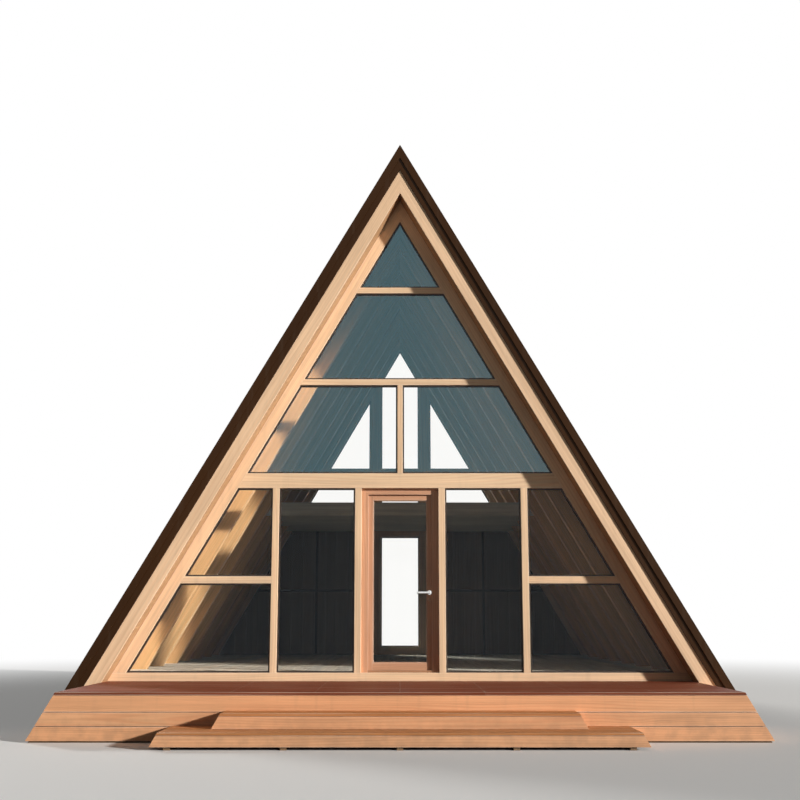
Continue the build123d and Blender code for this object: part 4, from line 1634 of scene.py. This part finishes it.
@dataclass
class BackWall:
    """Timber frame, boards, glass and gaskets of the back gable."""

    finishes: Finishes
    post: Span = (0.344, 0.546)
    middle_rails: tuple[Span, ...] = ((0.588, 0.728), (2.688, 2.988), (3.688, 3.928))
    side_rails: tuple[Span, ...] = ((2.788, 2.988), (3.688, 3.928))
    cladding: float = 0.2011
    cladding_clear: float = 0.002
    cladding_arris: float = 0.006
    batten_place: float = 1.500
    batten_level: float = 1.720
    batten_width: float = 0.045
    batten_thickness: float = 0.012
    batten_arris: float = 0.002

    def frame(self) -> None:
        """Builds the frame member by member."""
        gable = Gable(self.finishes, "back", BACK_WALL, Seed.BACK_GABLE.draws())
        gable.ring()
        rails, posts = Skin(), Skin()
        inner, outer = self.post
        floor = Plane.at_z(gable.sill[1])
        for span in self.middle_rails:
            gable.level(rails, span, Plane.at_x(-inner), Plane.at_x(inner))
        for side, _ in SIDES:
            for span in self.side_rails:
                gable.side_level(rails, side, span, outer)
            gable.upright(posts, (side * inner, side * outer), floor, gable.inside(side))
        gable.piece("rail_timbers", rails, "rails")
        gable.piece("post_timbers", posts, "posts")

    def boards(self) -> None:
        """Builds the upright boards, with vee joints on both faces, cut to the slope."""
        chance = Seed.BACK_BOARDS.draws()
        low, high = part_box("back_infill")
        inside = self.post[1]
        count = math.ceil((high.x - inside) / self.cladding)
        foot = Plane.at_z(low.z)
        skin = Skin()
        for side, _ in SIDES:
            tops = [Plane.at_z(high.z), Plane.slope(side, -RAKE_WIDTH)]
            for number in range(count):
                start = inside + number * self.cladding
                end = min(start + self.cladding, high.x - self.cladding_clear)
                corners = rectangle((side * start, low.y), (side * end, high.y))
                skin.board(corners, UPRIGHT_AXES, foot, tops, chance, self.cladding_arris)
        make_piece("back_boards", skin, self.finishes.wood(self.finishes.wall),
                   replaces=("back_infill",))

    def battens(self) -> None:
        """Dark cover battens on the room side of the boards, one upright and one level a side."""
        chance = Seed.BATTENS.draws()
        low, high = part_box("back_infill")
        half = self.batten_width / 2
        near, far = self.batten_place - half, self.batten_place + half
        under, over = self.batten_level - half, self.batten_level + half
        face = low.y - self.batten_thickness
        foot, top = Plane.at_z(low.z), Plane.at_z(high.z)
        upright, across = Skin(), Skin()
        for side, _ in SIDES:
            corners = rectangle((side * near, face), (side * far, low.y))
            upright.board(corners, UPRIGHT_AXES, foot, top, chance, self.batten_arris)
            corners = rectangle((face, under), (low.y, over))
            inner = (Plane.at_x(side * self.post[1]), Plane.at_x(side * near))
            outer = (Plane.at_x(side * far), Plane.slope(side, -RAKE_WIDTH))
            for start, end in (inner[::side], outer[::side]):
                across.board(corners, LEVEL_AXES, start, end, chance, self.batten_arris)
        timber = self.finishes.wood(self.finishes.batten)
        make_piece("back_battens_upright", upright, timber)
        make_piece("back_battens_level", across, timber)

    def build(self) -> None:
        """Builds the timber and dresses the glass and gaskets."""
        self.frame()
        self.boards()
        self.battens()
        dress(self.finishes.plain(self.finishes.glass), "back_glass")
        dress(self.finishes.plain(self.finishes.gasket), "back_gaskets")


@dataclass
class Door:
    """Entrance door: frame, glazed leaf, furniture and hinges."""

    finishes: Finishes
    stile: float = 0.065
    top_rail: float = 0.076
    bottom_rail: float = 0.093
    bead: float = 0.011
    bead_set_back: float = 0.004
    arris: float = 0.002
    opening_half: float = 0.380
    stop_depth: float = 0.025
    stop_height: float = 0.020
    keyhole_drop: float = 0.085

    def leaf(self) -> None:
        """Stiles and rails of the leaf, with a glazing bead round the glass on both faces."""
        chance = Seed.DOOR_LEAF.draws()
        low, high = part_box("door_leaf")
        foot, top = Plane.at_z(low.z), Plane.at_z(high.z)
        start, end = Plane.at_x(low.x + self.stile), Plane.at_x(high.x - self.stile)
        skin = Skin()
        for edge, inner in ((low.x, low.x + self.stile), (high.x, high.x - self.stile)):
            corners = rectangle((edge, low.y), (inner, high.y))
            skin.board(corners, UPRIGHT_AXES, foot, top, chance, self.arris)
        for edge, inner in ((low.z, low.z + self.bottom_rail), (high.z - self.top_rail, high.z)):
            corners = rectangle((low.y, edge), (high.y, inner))
            skin.board(corners, LEVEL_AXES, start, end, chance, self.arris)
        self.beads(skin, chance)
        make_piece("door_leaf_boards", skin, self.finishes.wood(self.finishes.door),
                   body="front_door", replaces=("door_leaf",))

    def beads(self, skin: Skin, chance: np.random.Generator) -> None:
        """Glazing beads on both faces: two uprights, and two level ones between them.

        Args:
            skin: Mesh to add to.
            chance: Random draws of the leaf.
        """
        low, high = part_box("door_leaf")
        glass_low, glass_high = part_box("door_glass")
        left, right = low.x + self.stile, high.x - self.stile
        bottom, top = low.z + self.bottom_rail, high.z - self.top_rail
        front = (low.y + self.bead_set_back, glass_low.y)
        back = (glass_high.y, high.y - self.bead_set_back)
        start, end = Plane.at_x(left + self.bead), Plane.at_x(right - self.bead)
        foot, head = Plane.at_z(bottom), Plane.at_z(top)
        for near, far in (front, back):
            for edge, inner in ((left, left + self.bead), (right - self.bead, right)):
                corners = rectangle((edge, near), (inner, far))
                skin.board(corners, UPRIGHT_AXES, foot, head, chance, self.arris)
            for edge, inner in ((bottom, bottom + self.bead), (top - self.bead, top)):
                corners = rectangle((near, edge), (far, inner))
                skin.board(corners, LEVEL_AXES, start, end, chance, self.arris)

    def keyhole(self) -> None:
        """Round keyhole plate on both faces, below the rose."""
        low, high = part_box("door_roses")
        leaf_low, leaf_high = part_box("door_leaf")
        middle = (low.x + high.x) / 2
        level = (low.z + high.z) / 2 - self.keyhole_drop
        plate = RoundHead(radius=0.017, sides=24, proud=0.003, drive=0.0036, drive_depth=0.003)
        skin = Skin()
        for face, out in ((leaf_low.y, -AXIS_Y), (leaf_high.y, AXIS_Y)):
            plate.add(skin, np.array([[middle, face, level]]), out, AXIS_X)
        make_piece("door_keyhole_plates", skin, self.finishes.plain(self.finishes.plate),
                   body="front_door", shade=Shade.SMOOTH)

    def lining(self) -> None:
        """Jambs and head with a step for the leaf to close on, mitred at the corners."""
        chance = Seed.DOOR_LINING.draws()
        low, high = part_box("door_head")
        jamb_low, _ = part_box("door_jambs")
        half, step = self.opening_half, self.stop_height
        timber = self.finishes.wood(self.finishes.door)
        mitres = [Plane(np.array([side, 0.0, -1.0]), half - low.z) for side, _ in SIDES]
        deep = (low.y, high.y)
        head = Skin()
        corners = self.stepped(deep, low.z, low.z + step, high.z)
        head.board(corners, LEVEL_AXES, *mitres, chance, self.arris)
        make_piece("door_head_timber", head, timber, replaces=("door_head",))
        jambs = Skin()
        foot = Plane.at_z(jamb_low.z)
        for (side, _), mitre in zip(SIDES, mitres):
            corners = self.stepped(deep, side * half, side * (half + step), side * high.x)[:, ::-1]
            top = [mitre, Plane.at_z(high.z)]
            jambs.board(corners, UPRIGHT_AXES, foot, top, chance, self.arris)
        make_piece("door_jamb_timbers", jambs, timber, replaces=("door_jambs",))

    def stepped(self, deep: Span, edge: float, step: float, far: float) -> np.ndarray:
        """Corners of a stepped member: the stop in front, the step behind it.

        Args:
            deep: Its front and back.
            edge: Face of the stop, towards the opening.
            step: Face behind the stop.
            far: Face away from the opening.

        Returns:
            The corners, as (depth, place).
        """
        front, back = deep
        stop_back = front + self.stop_depth
        return np.array([
            (front, edge),
            (front, far),
            (back, far),
            (back, step),
            (stop_back, step),
            (stop_back, edge),
        ])

    def build(self) -> None:
        """Builds the leaf and its frame and dresses the rest."""
        self.leaf()
        self.keyhole()
        self.lining()
        finishes = self.finishes
        dress(finishes.plain(finishes.glass), "door_glass")
        dress(finishes.plain(finishes.handle), "door_roses", "door_lever", "door_hinge_pins",
              "door_hinge_knuckles")
        dress(finishes.plain(finishes.sill), "door_threshold")


@dataclass
class Floors:
    """Floor boards, loft floor and base beams."""

    finishes: Finishes
    board: float = 0.180
    groove: float = 0.0025

    def floor(self) -> None:
        """Floor boards laid front to back, with a fine vee joint, twice as deep as half its width.

        The slab's sides lean with the roof.
        """
        low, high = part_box("floor_slab")
        top_half = (SOFFIT_APEX - high.z) / math.tan(PITCH)
        bottom_half = (SOFFIT_APEX - low.z) / math.tan(PITCH)
        count = int(2 * top_half // self.board) // 2
        joints = self.board * (np.arange(-count, count) + 0.5)
        laid = Panels.laid((-top_half, top_half), joints, self.groove, 2 * self.groove,
                           Seed.FLOOR.draws())
        upper = np.stack([laid.places, high.z - laid.dips], axis=-1)
        under = laid.places[::-1] * bottom_half / top_half
        lower = np.stack([under, np.full(len(under), low.z)], axis=-1)
        skin = Skin()
        skin.run(np.concatenate([upper, lower]), DEEP_AXES, Plane.at_y(low.y),
                 Plane.at_y(high.y), Cap.STRIP, **laid.values)
        make_piece("room_floor_boards", skin, self.finishes.wood(self.finishes.floor),
                   replaces=("floor_slab",))

    def build(self) -> None:
        """Builds the floor boards and dresses the rest."""
        self.floor()
        finishes = self.finishes
        dress(finishes.wood(finishes.floor, Grain.LEVEL), "loft_floor")
        dress(finishes.wood(finishes.base, Grain.LEVEL), "base_beams")


@dataclass(frozen=True)
class Lamp:
    """Broad distant lamp, with its angles in degrees and its azimuth to the right of the front."""

    name: str
    strength: float
    azimuth: float
    elevation: float
    size: float
    colour: Colour = (1.0, 0.98, 0.955)
    bounces: int = 3

    def build(self) -> None:
        """Adds the lamp."""
        data = bpy.data.lights.new(self.name, "SUN")
        data.energy = self.strength
        data.angle = math.radians(self.size)
        data.color = self.colour
        data.cycles.max_bounces = self.bounces
        lamp = bpy.data.objects.new(self.name, data)
        turn = (math.radians(90.0 - self.elevation), 0.0, math.radians(self.azimuth))
        lamp.rotation_euler = turn
        bpy.context.scene.collection.objects.link(lamp)


@dataclass
class Studio:
    """Camera, soft light, pale floor and white background.

    Tilt is in degrees. Fill is the strength of the background as a light, and bounce the share of
    the floor's colour that it lights the cabin with. The floor fades out over floor_fade.
    """

    eye: tuple[float, float, float] = (0.0, -14.27, 1.203)
    tilt: float = 9.17
    shift: float = 0.07
    lens: float = 45.64
    sensor: float = 36.0
    sight: float = 200.0
    lamps: tuple[Lamp, ...] = (
        Lamp("key", strength=5.0, azimuth=61.0, elevation=14.5, size=2.5),
        Lamp("back", strength=1.1, azimuth=215.0, elevation=34.0, size=12.0),
    )
    fill: float = 0.065
    fill_colour: Colour = (0.84, 0.93, 1.0)
    bounce: float = 0.27
    floor_colour: Colour = (0.82, 0.815, 0.80)
    floor_reach: float = 60.0
    floor_fade: Span = (7.0, 22.0)

    def camera(self) -> None:
        """Camera straight in front, at eye height above the ground, tilted up to the ridge."""
        data = bpy.data.cameras.new("camera")
        data.lens = self.lens
        data.sensor_width = self.sensor
        data.shift_y = self.shift
        data.clip_end = self.sight
        camera = bpy.data.objects.new("camera", data)
        camera.location = self.eye
        camera.rotation_euler = (math.radians(90.0 + self.tilt), 0.0, 0.0)
        bpy.context.scene.collection.objects.link(camera)
        bpy.context.scene.camera = camera

    def backdrop(self, graph: Graph) -> bpy.types.NodeSocket:
        """1 for rays that show the background: seen straight, in a reflection or through glass.

        Light that reaches a surface by way of a matt one, such as into the room, keeps the fill.

        Args:
            graph: Nodes of the world.

        Returns:
            1 for those rays, 0 for the others.
        """
        path = graph.node("LightPath").outputs
        seen = graph.math("MAXIMUM", path["Is Camera Ray"], path["Is Glossy Ray"])
        seen = graph.math("MAXIMUM", seen, path["Is Transmission Ray"])
        return graph.times(seen, graph.math("LESS_THAN", path["Diffuse Depth"], 0.5))

    def world(self) -> None:
        """White background, and an even dim fill for everything else."""
        world = bpy.data.worlds.new("studio")
        bpy.context.scene.world = world
        world.use_nodes = True
        graph = Graph(world.node_tree)
        seen = self.backdrop(graph)
        graph.feed(world.node_tree.nodes["Background"], {
            "Color": graph.blend(seen, self.fill_colour, WHITE),
            "Strength": graph.span(seen, 0.0, 1.0, self.fill, 1.0),
        })

    def floor(self) -> None:
        """Pale floor that fades into the white background."""
        mesh = bpy.data.meshes.new("studio_floor")
        corners = rectangle((-self.floor_reach,) * 2, (self.floor_reach,) * 2)
        mesh.from_pydata([(x, y, 0.0) for x, y in corners], [], [(0, 1, 2, 3)])
        floor = bpy.data.objects.new("studio_floor", mesh)
        bpy.context.scene.collection.objects.link(floor)
        material, graph, shader = new_material("studio_floor")
        seen = self.backdrop(graph)
        dim = tuple(self.bounce * value for value in self.floor_colour)
        graph.feed(shader, {
            "Base Color": graph.blend(seen, dim, self.floor_colour),
            "Roughness": 0.9,
            "Specular IOR Level": 0.1,
        })
        away = graph.node("VectorMath", {0: graph.place()}, operation="LENGTH").outputs["Value"]
        far = graph.times(graph.span(away, *self.floor_fade), seen)
        white = graph.node("Emission", {"Color": WHITE, "Strength": 1.0})
        finish_surface(graph, far, shader, white)
        mesh.materials.append(material)

    def build(self) -> None:
        """Sets the stage."""
        self.camera()
        for lamp in self.lamps:
            lamp.build()
        self.world()
        self.floor()
        bpy.context.scene.view_settings.view_transform = "Standard"


def main() -> None:
    """Builds the studio, then each sub-assembly."""
    logging.basicConfig(level=logging.INFO, format="%(name)s %(message)s")
    finishes = Finishes(Groups.build())
    Studio().build()
    for kind in (Roof, FrontWall, Door, BackWall, Floors, Deck):
        kind(finishes).build()


if __name__ == "__main__":
    main()
